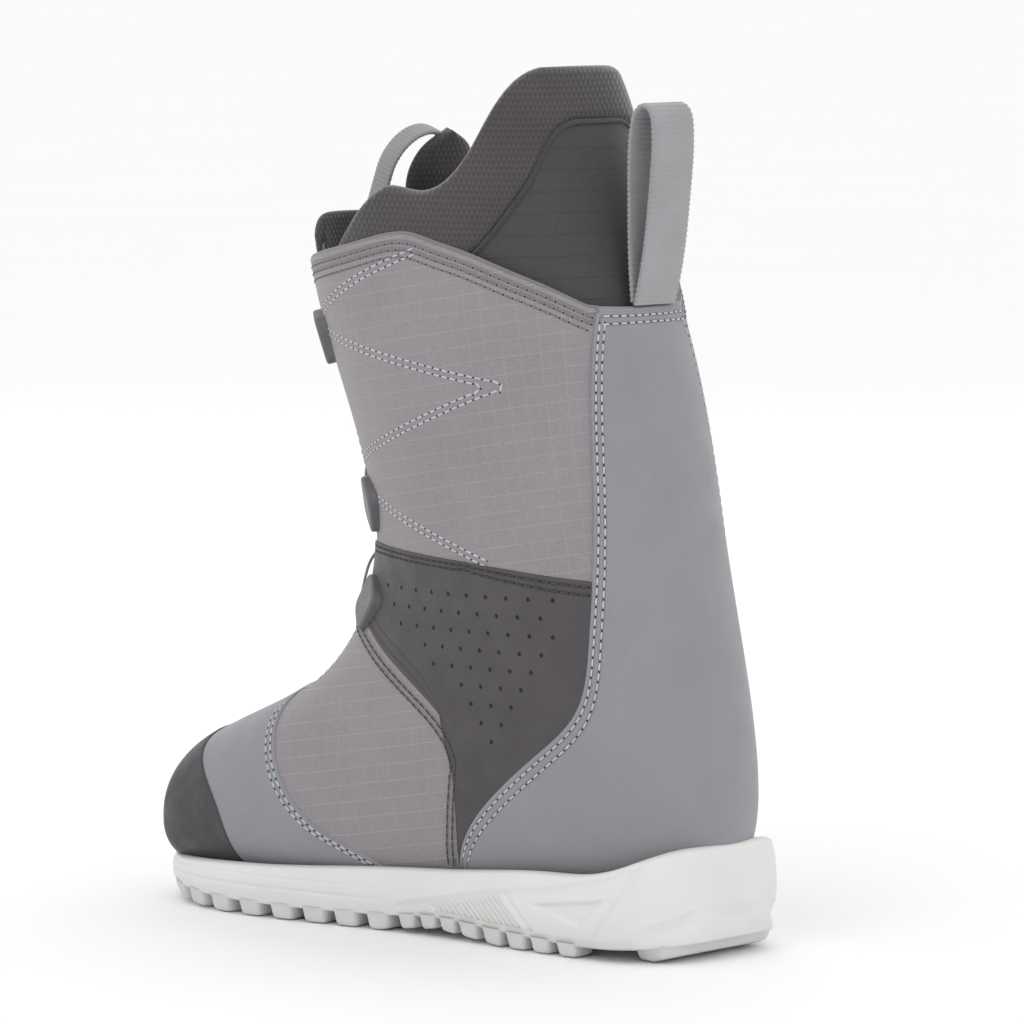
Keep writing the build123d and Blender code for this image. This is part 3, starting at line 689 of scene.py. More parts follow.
def sole_foam():
    """Off-white foam, dusty, and greyer near the ground."""
    paint = Paint("sole_foam", 0.5, Subsurface_Weight=0.05)
    paint.shader.inputs["Subsurface Radius"].default_value = (0.004, 0.003, 0.002)
    x, y, z = paint.axes()
    colour = shaded(paint, (0.69, 0.695, 0.68), 0.035, 60, 1.5, 0.2)
    dust = paint.stretched(paint.noise(5, 4, 0.7), 0.6, 0.78, 0.0, 0.10)
    colour = paint.blend(dust, colour, (0.42, 0.41, 0.39))
    low = paint.stretched(z, 0.004, 0.018, 0.22, 0.0)
    colour = paint.blend(low, colour, (0.5, 0.5, 0.49))
    paint.bump(paint.noise(0.9, 3), 0.03)
    paint.colour(colour)
    paint.rough(paint.noise(7, 3), 0.42, 0.56)
    return paint.material


def moulded(name, base, roughness, spread=0.08, grain=0.05, size=0.7, **inputs):
    """Moulded plastic or rubber with a fine spark texture and rubbed spots."""
    paint = Paint(name, roughness, **inputs)
    colour = shaded(paint, base, spread, 18, 0.7, 0.4)
    rubbed = paint.stretched(paint.noise(2.5, 5, 0.7), 0.62, 0.75, 0.0, 0.18)
    colour = paint.blend(rubbed, colour, tuple(min(1.0, c * 1.6 + 0.02) for c in base))
    paint.bump(paint.noise(size, 3), grain)
    paint.colour(colour)
    paint.rough(paint.noise(6, 3), max(0.05, roughness - 0.08), roughness + 0.08)
    return paint.material


def thread():
    """Light sewing thread."""
    paint = Paint("sewing_thread", 0.6, Sheen_Weight=0.3)
    paint.colour(shaded(paint, (0.50, 0.50, 0.53), 0.2, 8, 0.3, 0.6))
    paint.bump(paint.noise(0.25, 2), 0.06)
    return paint.material


PAINT = {
    "smooth": smooth_synthetic(),
    "ripstop": ripstop("ripstop_mauve", (0.242, 0.222, 0.236), (0.40, 0.38, 0.40), 0.17, 6.8, 0.38),
    "dark": perforated_dark(),
    "toe": toe_rubber(),
    "knit": knit("liner_knit", (0.068, 0.060, 0.060)),
    "liner_ripstop": ripstop("liner_ripstop", (0.040, 0.042, 0.040), (0.016, 0.017, 0.016), 0.03,
                             8.5, 0.5),
    "lining": cloth("liner_lining", (0.045, 0.044, 0.047), 1.3),
    "insole": cloth("insole_felt", (0.11, 0.11, 0.12), 0.8, 0.2, 0.9),
    "tongue": cloth("tongue_fabric", (0.23, 0.235, 0.25), 1.0, 0.1),
    "tongue_dark": knit("tongue_padding", (0.060, 0.057, 0.062), 2.0),
    "webbing": cloth("webbing", (0.36, 0.35, 0.37), 0.7, 0.12, 0.7, 0.4),
    "sole": sole_foam(),
    "binding": cloth("binding", (0.23, 0.212, 0.226), 0.6, 0.1),
    "dark_binding": cloth("dark_binding", (0.045, 0.045, 0.046), 0.6, 0.15),
    "thread": thread(),
    "mauve_thread": moulded("mauve_thread", (0.17, 0.155, 0.168), 0.7),
    "dark_thread": moulded("dark_thread", (0.05, 0.048, 0.052), 0.7),
    # painted shade: near-black finish of the flat discs that stand for the dark inside of needle and vent
    # holes
    "hole": moulded("needle_hole", (0.012, 0.012, 0.013), 0.9),
    "outsole": moulded("sole_rubber", (0.60, 0.605, 0.59), 0.62, 0.05, 0.05, 0.8),
    "dial": moulded("dial_plastic", (0.045, 0.046, 0.050), 0.42),
    "knob": moulded("knob_plastic", (0.16, 0.165, 0.175), 0.38),
    "grip": moulded("knob_rubber", (0.030, 0.030, 0.033), 0.72),
    "hub": moulded("hub_plastic", (0.09, 0.09, 0.095), 0.45),
    "guide": moulded("guide_plastic", (0.13, 0.125, 0.135), 0.5),
    "cable": moulded("cable_steel", (0.20, 0.20, 0.21), 0.38, 0.2, 0.05, 0.4),
    "gel": moulded("gel", (0.30, 0.42, 0.50), 0.3, 0.05, 0.02, 2.0, Transmission_Weight=0.2),
    "shank": moulded("shank_plate", (0.03, 0.03, 0.03), 0.4, 0.3, 0.04, 1.2),
    "board": moulded("board", (0.42, 0.33, 0.22), 0.85, 0.15, 0.06, 1.0),
    "counter": moulded("counter_plastic", (0.50, 0.49, 0.46), 0.6),
}
for node, finish in (("outsole", "outsole"), ("heel_cushion", "gel"), ("shank", "shank"),
                     ("lasting_board", "board"), ("heel_counter", "counter"),
                     ("dial_base", "dial"), ("dial_spool", "dial"), ("dial_hub", "hub"),
                     ("dial_knob", "knob"), ("dial_grip", "grip"),
                     ("lace_guides_medial", "guide"), ("lace_guides_lateral", "guide")):
    slots = frame["nodes"][node].data.materials
    for i in range(max(1, len(slots))):
        if len(slots):
            slots[i] = PAINT[finish]
        else:
            slots.append(PAINT[finish])


# ------------------------------------------------------------------------ upper panels
def lerp(a, b, t):
    """The value a share t of the way from a to b."""
    return a + (b - a) * t


def throat_angle(k):
    """Angle of the throat's edge on each side: medial, then lateral as a positive angle."""
    return angle_at(k, THROAT_HALF), -angle_at(k, -THROAT_HALF)


def toe_ground(u, v):
    """All round the toe, from its tip back to the toe seam."""
    phi = lerp(-np.pi, np.pi, v)
    return lerp(0.004, toe_line(phi), u), phi


VAMP_CORNER, VAMP_THROAT = deg(27), 3.50


def vamp_rear(phi):
    """Rear edge of the vamp: straight across the throat, then the vamp seam."""
    return np.where(np.abs(phi) < VAMP_CORNER, VAMP_THROAT, vamp_line(phi))


def vamp_ground(u, v):
    """From just under the toe cap back to the vamp's rear edge."""
    phi = lerp(deg(-152), deg(152), v)
    return lerp(toe_line(phi) - 0.06, vamp_rear(phi), u), phi


def four_sided(bottom, top, front, rear):
    """Shares to section and angle, from four borders that meet at the corners."""
    def ground(u, v):
        b, t, f, r = bottom(v), top(v), front(u), rear(u)
        corner = [bottom(0 * v), bottom(0 * v + 1), top(0 * v), top(0 * v + 1)]
        return tuple(
            (1 - u) * b[i] + u * t[i] + (1 - v) * f[i] + v * r[i]
            - ((1 - u) * (1 - v) * corner[0][i] + (1 - u) * v * corner[1][i]
               + u * (1 - v) * corner[2][i] + u * v * corner[3][i]) for i in (0, 1))
    return ground


def sided(ground, side):
    """The same patch on the medial (1) or lateral (-1) side."""
    def on_side(u, v):
        k, phi = ground(u, v)
        return k, side * phi
    return on_side


def lower_corner():
    """Where the ankle panel's front seam and the backstay meet at the sole."""
    return 5.31, deg(131)


def backstay_ground(u, v):
    """Round the heel from seam to seam, up to a top with rounded corners."""
    top = 12.14 - 0.05 * np.abs(2 * v - 1)**20
    k = lerp(5.12, top, u)
    phi = backstay_line(k)
    return k, lerp(phi, 2 * np.pi - phi, v)


UNDER_BACKSTAY = deg(5)
TOP_OF_QUARTER, TOP_OF_VAMP, TOP_OF_DARK, TOP_OF_BACKSTAY = 0.9, 1.8, 1.7, 2.5
THROAT_START, THROAT_TOP = 3.55, 11.7
grounds, stitched, dark_rows = {}, [], []
for side, name in ((1, "medial"), (-1, "lateral")):
    which = 0 if side == 1 else 1

    def quarter_ground(u, v, which=which):
        phi0 = lerp(deg(25), deg(150), v)
        k = lerp(vamp_rear(phi0) - 0.07 * (phi0 > VAMP_CORNER), ankle_line(phi0) + 0.06, u)
        return k, lerp(throat_angle(k)[which], deg(150), v)

    low_k = float(ankle_line(deg(24)))
    top_k = float(ankle_top(deg(24)))
    end_k, end_phi = lower_corner()

    def front_edge(k, which=which):
        return k, throat_angle(k)[which]

    def ankle_bottom(v, which=which):
        phi = lerp(float(throat_angle(low_k)[which]), end_phi, v)
        return ankle_line(phi), phi

    rear_low, rear_high = end_k, float(ankle_top(deg(134)))

    def ankle_rear(u):
        k = lerp(rear_low, rear_high, u)
        return k, backstay_line(k) + UNDER_BACKSTAY * np.minimum(1, 6 * u)

    def ankle_head(v, which=which):
        phi = lerp(float(throat_angle(top_k)[which]), backstay_line(rear_high) + UNDER_BACKSTAY, v)
        return ankle_top(phi), phi

    ankle = four_sided(
        ankle_bottom, ankle_head,
        lambda u: front_edge(lerp(ankle_bottom(0 * u)[0], ankle_head(0 * u)[0], u)), ankle_rear)

    cuff_rear_top = 12.0
    for _ in range(4):
        cuff_rear_top = float(cuff_top(backstay_line(cuff_rear_top) + UNDER_BACKSTAY))

    def cuff_bottom(v):
        k, phi = ankle_head(v)
        return k - 0.12, phi

    def cuff_rear(u):
        k = lerp(rear_high - 0.12, cuff_rear_top, u)
        return k, backstay_line(k) + UNDER_BACKSTAY

    def cuff_head(v, which=which):
        phi = lerp(float(throat_angle(11.8)[which]), backstay_line(cuff_rear_top) + UNDER_BACKSTAY, v)
        return cuff_top(phi), phi

    cuff = four_sided(
        cuff_bottom, cuff_head,
        lambda u: front_edge(lerp(cuff_bottom(0 * u)[0], cuff_head(0 * u)[0], u)), cuff_rear)

    for part, ground, top, finish, slot, rolled, seams in (
            ("quarter", quarter_ground, TOP_OF_QUARTER, "ripstop", "ripstop_mauve", "f", "f"),
            ("ankle_panel", ankle, TOP_OF_DARK, "dark", "perforated_dark", "tbf", "tb"),
            ("cuff", cuff, TOP_OF_QUARTER, "ripstop", "ripstop_mauve", "f", "tf")):
        ground = sided(ground, side)
        grounds[(part, side)] = ground
        piece = panel(f"{part}_{name}_skin", ground, 1.15, top, PAINT[finish], rolled=rolled,
                      sewn=seams, slot=slot)
        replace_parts(piece, f"{part}_{name}")

grounds["vamp"], grounds["backstay"] = vamp_ground, backstay_ground
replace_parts(panel("toe_cap_skin", toe_ground, 1.2, 2.5, PAINT["toe"], rolled="t", roll=1.0,
                  slot="toe_rubber"), "toe_cap")
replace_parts(panel("vamp_skin", vamp_ground, 1.15, TOP_OF_VAMP, PAINT["smooth"], rolled="t", sewn="t",
                  slot="smooth_synthetic"), "vamp")
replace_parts(panel("backstay_skin", backstay_ground, 1.2, TOP_OF_BACKSTAY, PAINT["smooth"], rolled="tfr",
                  sewn="tfr", slot="smooth_synthetic"), "backstay")

# sewn rows
SEWN_HEIGHT = {"quarter": TOP_OF_QUARTER, "ankle_panel": 1.72, "cuff": 0.92}


def border_row(part, side, border, distance, low, high):
    """A sewn row a distance inside a border of a side panel."""
    return (*along_border(grounds[(part, side)], border, distance, low, high), SEWN_HEIGHT[part])


cuff_rows = [border_row("cuff", side, "t", 8.4, 0.03, 0.95) for side in (1, -1)]
for distance in SEWN_DISTANCES:
    for side in (1, -1):
        low, high = (0.60, 0.97) if side == 1 else (0.03, 0.40)
        stitched.append((*along_border(vamp_ground, "t", distance, low, high), TOP_OF_VAMP))
        dark_rows.append((*inside_border(grounds[("ankle_panel", side)], distance, side),
                          SEWN_HEIGHT["ankle_panel"]))
        dark_rows.append(border_row("ankle_panel", side, "t", distance, 0.03, 0.95))
        stitched.append(border_row("quarter", side, "f", distance, 0.05, 0.92))
        stitched.append((*along_border(backstay_ground, "f" if side == 1 else "r", distance,
                                       0.05, 0.985), TOP_OF_BACKSTAY))
        cuff_rows.append(border_row("cuff", side, "t", distance + 0.9, 0.03, 0.96))
        cuff_rows.append(border_row("cuff", side, "f", distance + 0.6, 0.05, 0.95))
    stitched.append((*along_border(backstay_ground, "t", distance, 0.06, 0.94), TOP_OF_BACKSTAY))
CHEVRONS = [[(71, 277), (105, 264), (141, 247)], [(127, 179), (80, 166), (40, 154)]]
CHEVRON_TIP = [(140, 243), (88, 234), (31, 225)], [(31, 225), (80, 206), (128, 188)]


def beside(points, shift):
    """A line in the side plane, moved square to itself."""
    line = curve_through(points, 60)
    run = np.gradient(line, axis=0)
    run /= np.linalg.norm(run, axis=1, keepdims=True)
    return line + np.stack([-run[:, 1], run[:, 0]], -1) * shift


chevron_lines = [beside(chevron, shift) for chevron in CHEVRONS for shift in (-1.25, 1.25)]
upper, lower = CHEVRON_TIP
chevron_lines.append(np.concatenate([beside(upper, -1.25), beside(lower, -1.25)]))
inner = np.concatenate([beside(upper, 1.25)[:-5], beside(lower, 1.25)[5:]])
chevron_lines.append(inner)
for line in chevron_lines:
    found = locate(line)
    for side in (1, -1):
        stitched.append((found[:, 0], side * found[:, 1], 0.9))
stitching("light_stitching", stitched, [PAINT["thread"], PAINT["hole"]])
stitching("dark_stitching", dark_rows, [PAINT["dark_thread"], PAINT["hole"]])
stitching("cuff_stitching", cuff_rows, [PAINT["mauve_thread"], PAINT["hole"]])

# ventilation holes in the ankle panels, staggered rows that shorten downwards; each hole is a flat
# near-black disc of painted shade
HOLE_HEIGHTS = [80, 91, 102, 115, 126, 139]
HOLE_FRONT, HOLE_REAR = [44, 53, 66, 83, 100, 107], [38, 28, 18, 10, 7, 7]
spots = []
for row in range(9):
    z = 139.5 - 7.3 * row
    for x in np.arange(106 - (row % 2) * 5.4, 0, -10.8):
        if np.interp(z, HOLE_HEIGHTS, HOLE_REAR) <= x <= np.interp(z, HOLE_HEIGHTS, HOLE_FRONT):
            spots.append((x, z + 0.02 * (104 - x)))
holes = locate(spots)
ring = np.linspace(0, 2 * np.pi, 10, endpoint=False)
hole_points, hole_faces = [], []
for side in (1, -1):
    centre, up = skin(holes[:, 0], side * holes[:, 1], 1.74), normals(holes[:, 0], side * holes[:, 1])
    first = np.cross(up, (0, 0, 1.0))
    first /= np.linalg.norm(first, axis=1, keepdims=True)
    second = np.cross(up, first)
    for c, a, b in zip(centre, first, second):
        start = sum(len(p) for p in hole_points)
        hole_points.append(c + a * np.cos(ring)[:, None] * 0.95 + b * np.sin(ring)[:, None] * 0.95)
        order = list(range(start, start + 10))
        hole_faces.append(order)
new_object("vent_holes", np.concatenate(hole_points), hole_faces, PAINT["hole"])


# bindings round the throat and along the cuff's top edge
def strand(k, phi, lift):
    """Points at a height over the last, and the outward directions there."""
    return skin(k, phi, np.asarray(lift) + 0 * np.asarray(k)), normals(k, phi)


def bound_edge(name, k, phi, radius, material, lift=-1.1, squeeze=1.0, **kwargs):
    """A round binding swept along a line over the last."""
    points, ups = strand(k, phi, lift)
    both = even(np.concatenate([points, ups], 1), 1.5)
    return swept(name, both[:, :3], both[:, 3:], circle(radius, 12, squeeze), material, **kwargs)


for side, name in ((1, "medial"), (-1, "lateral")):
    head = float(cuff_top(throat_angle(THROAT_TOP)[0 if side == 1 else 1]))
    k = np.linspace(THROAT_START, head, 200)
    phi = side * throat_angle(k)[0 if side == 1 else 1]
    bound_edge(f"throat_binding_{name}", k, phi * 1.01, 1.9, PAINT["binding"],
               slot="ripstop_mauve")
    k, phi = along_border(grounds[("cuff", side)], "t", 0.2, 0.0, 0.985)
    bound_edge(f"cuff_binding_{name}", k, phi, 1.7, PAINT["binding"], lift=-0.9,
               slot="ripstop_mauve")
s = np.linspace(0.02, 0.98, 120)
k, phi = backstay_ground(0 * s + 0.9985, s)
bound_edge("backstay_binding", k, phi, 2.0, PAINT["smooth"], lift=0.3, slot="smooth_synthetic")
k, phi = VAMP_THROAT + 0 * s, lerp(deg(-28), deg(24), s)
bound_edge("vamp_binding", k, phi, 1.9, PAINT["smooth"], lift=-0.4, slot="smooth_synthetic")


# ------------------------------------------------------------------------------- liner
LINER_THROAT = 21.0
LINER_EDGE = deg(24)
LINER_LOW, LINER_BACK = -7, -11.0


def liner_phi(k, v):
    """Angle round the liner, from one edge of its throat to the other."""
    start = angle_at(k, LINER_THROAT)
    stop = 2 * np.pi + angle_at(k, -LINER_THROAT)
    return lerp(start, stop, v)


def folded(phi):
    """Angle from the front, 0 to a half turn, whichever side it is on."""
    return np.abs((phi + np.pi) % (2 * np.pi) - np.pi)


def liner_lower_ground(u, v):
    """The liner's lower panel, from inside the shell up to the collar seam."""
    rough = lerp(LINER_EDGE, 2 * np.pi - LINER_EDGE, v)
    k = lerp(10.4, collar_line(folded(rough)) + 0.15, u)
    return k, liner_phi(k, v)


def collar_ground(u, v):
    """The liner's collar, from its seam up to the rim."""
    rough = lerp(LINER_EDGE, 2 * np.pi - LINER_EDGE, v)
    k = lerp(collar_line(folded(rough)) - 0.02, rim_line(folded(rough)), u)
    return k, liner_phi(k, v)


def sock_ground(u, v):
    """The liner's foot, from the ball up to the ankle."""
    k = lerp(4.0, 10.55, u)
    return k, liner_phi(k, v)


def sock_toe_ground(u, v):
    """The liner's toe, all round."""
    return lerp(0.75, 4.1, u), lerp(-np.pi, np.pi, v)


def puffed(u, v):
    """Fullness of the collar: the sine of its height share, to a low power."""
    return 1.6 * np.sin(np.pi * np.clip(u, 0, 1))**0.6


lower_liner = panel("liner_body", liner_lower_ground, 1.6, -3.2, PAINT["liner_ripstop"], low=LINER_LOW,
                    roll=3.0, rolled="fr", back=LINER_BACK, slot="liner_ripstop", sewn="")
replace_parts(lower_liner, "liner_cuff")
collar = panel("liner_collar_pad", collar_ground, 1.5, -2.2, PAINT["knit"], low=-6.8, roll=4.6,
               rolled="tbfr", back=-11.4, crown=puffed, slot="liner_knit")
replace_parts(collar, "liner_collar")
sock = panel("liner_sock", sock_ground, 2.4, -3.6, PAINT["lining"], low=LINER_LOW, roll=3.0,
             rolled="fr", back=LINER_BACK, slot="liner_foam")
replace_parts(sock, "liner_foot")
panel("liner_toe", sock_toe_ground, 2.4, -3.6, PAINT["lining"], low=LINER_LOW, roll=3.0,
                rolled="t", back=LINER_BACK, slot="liner_foam")
s = np.linspace(0.01, 0.99, 240)
k, phi = collar_ground(0 * s, s)
bound_edge("collar_piping", k, phi, 0.9, PAINT["dark_binding"], lift=-2.7, slot="liner_knit")


def insole_ground(u, v):
    """The footbed: the lower third of the last, from toe to heel."""
    return lerp(1.9, 6.6, u), lerp(deg(118), deg(242), v)


insole = panel("insole_pad", insole_ground, 2.0, -11.1, PAINT["insole"], low=-13, roll=2.0,
               back=-15.0, slot="insole")
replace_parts(insole, "footbed")


# ----------------------------------------------------------------------------- tongues
def tongue_ground(half, low, high, corner):
    """A strip down the throat, its top corners rounded by a high power of the side share."""
    def ground(u, v):
        k = lerp(low, high - corner * np.abs(2 * v - 1)**7, u)
        return k, angle_at(k, lerp(-half, half, v))
    return ground


tongue = panel("shell_tongue_skin", tongue_ground(22.2, 3.62, 12.02, 0.35), 1.2, 0.6,
               PAINT["tongue"], low=-1.2, roll=1.6, back=-2.9, sewn="tfr", body="shell_tongue",
               slot="tongue_fabric")
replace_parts(tongue, "shell_tongue")
head = panel("tongue_head_pad", tongue_ground(22.3, 11.15, 12.1, 0.36), 1.0, 1.5,
             PAINT["tongue_dark"], low=-1.0, roll=3.2, back=-3.3, body="shell_tongue",
             crown=lambda u, v: 0.9 * np.sin(np.pi * u) * np.sin(np.pi * v),
             slot="tongue_padding")
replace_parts(head, "tongue_pad")
panel("tongue_patch", tongue_ground(11, 11.35, 11.85, 0.1), 0.8, 2.9, PAINT["tongue"], low=1.2,
      roll=0.8, sewn="", body="shell_tongue", slot="tongue_fabric")

lower_k = np.linspace(4.05, 9.7, 26)
body_line = skin(lower_k, 0 * lower_k, -7.8)[:, [0, 2]]
pad_line = curve_through([(142.3, 250), (138.2, 269), (131.8, 293), (122, 322)], 26)
middle = np.concatenate([body_line, curve_through([body_line[-1], (142.9, 238), (142.3, 250)],
                                                  8)[1:-1], pad_line])
middle = curve_through(middle[np.linspace(0, len(middle) - 1, 19).astype(int)], 110)
level = middle[:, 1]


def pad_sides(z):
    """Right and left limits of the liner tongue at a height."""
    corner = 12 - np.sqrt(np.clip(144 - np.clip(z - 278, 0, 12)**2, 0, 144))
    straight = np.where(z < 290, 19.6 - corner, -99.0)
    lobe = np.sqrt(np.clip(18.5**2 - (z - 303.5)**2, 0, None))
    right = np.maximum(straight, np.where(z > 287, -18.5 + lobe, -99.0))
    left = np.minimum(-straight, np.where(z > 287, -18.5 - lobe, 99.0))
    return right, left


right, left = pad_sides(level)
right = np.maximum(right, left + 0.5)
for _ in range(5):
    right[1:-1] = (right[:-2] + 2 * right[1:-1] + right[2:]) / 4
    left[1:-1] = (left[:-2] + 2 * left[1:-1] + left[2:]) / 4
run = np.gradient(middle, axis=0)
run /= np.linalg.norm(run, axis=1, keepdims=True)
outward = np.stack([run[:, 1], -run[:, 0]], -1)
half = np.interp(level, [90, 100, 240, 262, 305, 322], [2.5, 3.2, 3.4, 4.4, 4.6, 2.2])
a = np.linspace(0, 2 * np.pi, 44, endpoint=False)
cs, sn = np.cos(a), np.sin(a)
wide = np.sign(cs) * np.abs(cs)**0.75
thick = np.sign(sn) * np.abs(sn)**0.85
y = ((right + left) / 2)[:, None] + ((right - left) / 2)[:, None] * wide
bow = 0.0115 * y**2 * np.interp(level, [90, 235, 262], [1, 1, 0])[:, None]
offset = half[:, None] * thick - bow
rings = np.stack([middle[:, :1] + outward[:, :1] * offset, y,
                  middle[:, 1:] + outward[:, 1:] * offset], -1)
ends = np.stack([rings[0].mean(0), rings[-1].mean(0)])
points = np.concatenate([rings.reshape(-1, 3), ends])
n, m = rings.shape[:2]
faces = grid_faces(n, m, wrap=True).tolist()
for i in range(m):
    faces.append([n * m, (i + 1) % m, i])
    faces.append([n * m + 1, (n - 1) * m + i, (n - 1) * m + (i + 1) % m])


def outward_object(name, points, faces, material, **kwargs):
    """As new_object, with the faces turned to point outwards."""
    piece = new_object(name, points, faces, material, **kwargs)
    work = bmesh.new()
    work.from_mesh(piece.data)
    bmesh.ops.recalc_face_normals(work, faces=work.faces)
    work.to_mesh(piece.data)
    work.free()
    return piece


liner_tongue = outward_object("liner_tongue_pad", points, faces, PAINT["knit"],
                              body="liner_tongue", slot="liner_knit")
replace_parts(liner_tongue, "liner_tongue")


# ------------------------------------------------------------------------------- loops
def webbing(name, path, across, width, thick, rib, **kwargs):
    """A woven strap along a path, lying across a direction, with ribs a distance apart."""
    spots = even(np.asarray(path, float), rib / 6)
    tangent = np.gradient(spots, axis=0)
    tangent /= np.linalg.norm(tangent, axis=1, keepdims=True)
    up = np.cross(tangent, np.broadcast_to(across, spots.shape))
    at = np.arange(len(spots)) / 6
    swell = 1 + 0.16 * np.cos(2 * np.pi * at)
    edge = 1 + 0.012 * np.cos(2 * np.pi * at)
    return swept(name, spots, up, rounded_strip(width, thick, 10), PAINT["webbing"],
                 scale=np.stack([edge, swell], -1), **kwargs)


LOOP_RADIUS, LOOP_SPRING = 18.1, 15
normal = np.array([0.936, 0, 0.351])
origin = np.array([133.6, -9, 289.4]) + normal * 5.4
upward = np.array([-0.351, 0, 0.936])
turn = np.linspace(np.pi, 0, 60)
arch = [origin + np.array([0, -LOOP_RADIUS, 0]) + upward * t for t in (-8, -4, 0.1, 5, 10)]
arch += [origin + np.array([0, LOOP_RADIUS * np.cos(t), 0])
         + upward * (LOOP_SPRING + LOOP_RADIUS * np.sin(t)) for t in turn]
arch += [origin + np.array([0, LOOP_RADIUS, 0]) + upward * t for t in (10, 5, 0.5, -4)]
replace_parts(webbing("front_pull_loop", arch, normal, 9.0, 1.7, 1.9, body="front_loop",
                    slot="webbing"), "front_loop")
heel = curve_through([(0.3, 256), (-3.8, 273), (-7.5, 300), (-9.0, 326), (-6.6, 333.5),
                      (-3.4, 335), (-0.4, 333), (2.2, 326), (3.3, 300), (2.8, 273), (1.6, 257)], 160)
heel = np.stack([heel[:, 0], 0 * heel[:, 0] - 4.5, heel[:, 1]], -1)
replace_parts(webbing("heel_pull_loop", heel, np.array([0, 1.0, 0]), 25.0, 1.7, 2.1,
                    body="heel_loop", slot="webbing"), "heel_loop")


# -------------------------------------------------------------------------------- lace
def tangent_frame(k, angle):
    """Local frame on the upper: origin, x towards the throat, y up the boot, z outward."""
    phi, toward = deg(angle), 1 if angle < 0 else -1
    here = bare(k, phi)
    along, up = bare(k, phi + toward * deg(1)) - here, bare(k + 0.1, phi) - here
    n = np.cross(along, up) * toward
    n *= np.sign(n @ (here - (bare(k, phi) + bare(k, phi + np.pi)) / 2))
    n, x = n / np.linalg.norm(n), along / np.linalg.norm(along)
    return here, x, np.cross(n, x), n


def local(place, x, y, z):
    """A point given in a local frame."""
    return place[0] + place[1] * x + place[2] * y + place[3] * z


dial = tangent_frame(10.0, -64)
route = [local(dial, 0, 8.2, 3.2), local(dial, 22, 8.2, 3.2), local(tangent_frame(10.25, -40),
                                                                    0, 0, 4.5)]
owners = ["root"] * 3
previous = 10.3
for section, side in [(10.6, 1), (9.0, -1), (8.0, 1), (7.0, -1), (6.0, 1)]:
    arrive = section + 0.25
    route += [local(tangent_frame(0.6 * previous + 0.4 * arrive, -side * 13), 0, 0, 4.4),
              local(tangent_frame(0.35 * previous + 0.65 * arrive, side * 13), 0, 0, 4.4)]
    guide = tangent_frame(section, side * 36)
    route += [local(guide, x, y, 2.5) for x, y in ((10, 7), (-6, 7), (-6, -7), (10, -7))]
    owners += ["shell_tongue"] * 2 + ["root"] * 4
    previous = section - 0.3
route += [local(tangent_frame(5.5, 13), 0, 0, 4.4), local(tangent_frame(5.35, -13), 0, 0, 4.4)]
turn_guide = tangent_frame(5.2, -40)
route += [local(turn_guide, x, y, 2.5) for x, y in ((13, 0), (-1, 0), (-1, 14))]
route += [local(tangent_frame(7.0, -58), 0, 0, 3.2), local(tangent_frame(8.6, -66), 0, 0, 3.6),
          local(dial, 8.2, -22, 3.2), local(dial, 8.2, 0, 3.2)]
owners += ["shell_tongue"] * 2 + ["root"] * 7

curve = bpy.data.curves.new("lace_line", "CURVE")
curve.dimensions = "3D"
curve.resolution_u = 16
spline = curve.splines.new("NURBS")
spline.points.add(len(route) - 1)
for point, spot in zip(spline.points, route):
    point.co = (*(spot * MM), 1)
spline.order_u = 3
spline.use_endpoint_u = True
helper = bpy.data.objects.new("lace_line", curve)
bpy.context.scene.collection.objects.link(helper)
bpy.context.view_layer.update()
line_mesh = bpy.data.meshes.new_from_object(helper)
lace_line = np.array([v.co for v in line_mesh.vertices]) / MM
bpy.data.objects.remove(helper)
bpy.data.meshes.remove(line_mesh)

nearest = np.array([np.linalg.norm(lace_line - spot, axis=1).argmin() for spot in route])
crossings = [i for i in range(len(owners) - 1)
             if owners[i] == "shell_tongue" and owners[i + 1] == "shell_tongue"]
cuts = sorted((nearest[i] + nearest[i + 1]) // 2 for i in crossings)
ends = [0] + cuts + [len(lace_line) - 1]


def lace_piece(name, first, last):
    """The lace between two points of its line, as a thin swept cable."""
    spots = even(lace_line[first:last + 1], 0.8)
    spots = np.concatenate([lace_line[first:first + 1], spots, lace_line[last:last + 1]])
    tangent = np.gradient(spots, axis=0)
    up = np.cross(tangent, (0, 0, 1.0)) + (0, 0, 1e-3)
    return swept(name, spots, up, circle(0.6, 8), PAINT["cable"], slot="cable_steel")


strands = []
for number, (first, last) in enumerate(zip(ends, ends[1:]), 1):
    fixed = [n for n, owner in zip(nearest, owners) if owner == "root" and first <= n <= last]
    enter, leave = min(fixed), max(fixed)
    if number > 1:
        strands.append((f"lace_in_{number}", first, enter))
    strands.append((f"lace_guide_{number}", enter, leave))
    if number < len(ends) - 1:
        strands.append((f"lace_out_{number}", leave, last))
for name, first, last in strands:
    piece = lace_piece(name, first, last)
    if "guide" not in name:
        world = piece.matrix_world.copy()
        piece.parent = None
        piece.matrix_world = world
        del piece["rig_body"]
        start, stop = (first, last) if "out" in name else (last, first)
        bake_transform(piece)
    else:
        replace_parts(piece, "lace")


# ---------------------------------------------------------------------------- midsole
outline = np.array(SOLE_OUTLINE, float)
thrice = np.concatenate([outline] * 3 + [outline[:1]])
at = np.concatenate([[0], np.cumsum(np.linalg.norm(np.diff(thrice, axis=0), axis=1))])
rim_x, rim_y = natural_spline(at, thrice[:, 0]), natural_spline(at, thrice[:, 1])
once = np.linspace(at[20], at[40], 1101)[:-1]
rim = np.stack([rim_x(once), rim_y(once)], -1)
forward = np.roll(rim, -1, 0) - np.roll(rim, 1, 0)
forward /= np.linalg.norm(forward, axis=1, keepdims=True)
aside = np.stack([-forward[:, 1], forward[:, 0]], -1)
aside *= np.sign((aside * (rim - (90, 0))).sum(1).mean())
step = np.linalg.norm(np.roll(rim, -1, 0) - rim, axis=1)
arc = np.concatenate([[0], np.cumsum(step)[:-1]])
half_way = step.sum() / 2
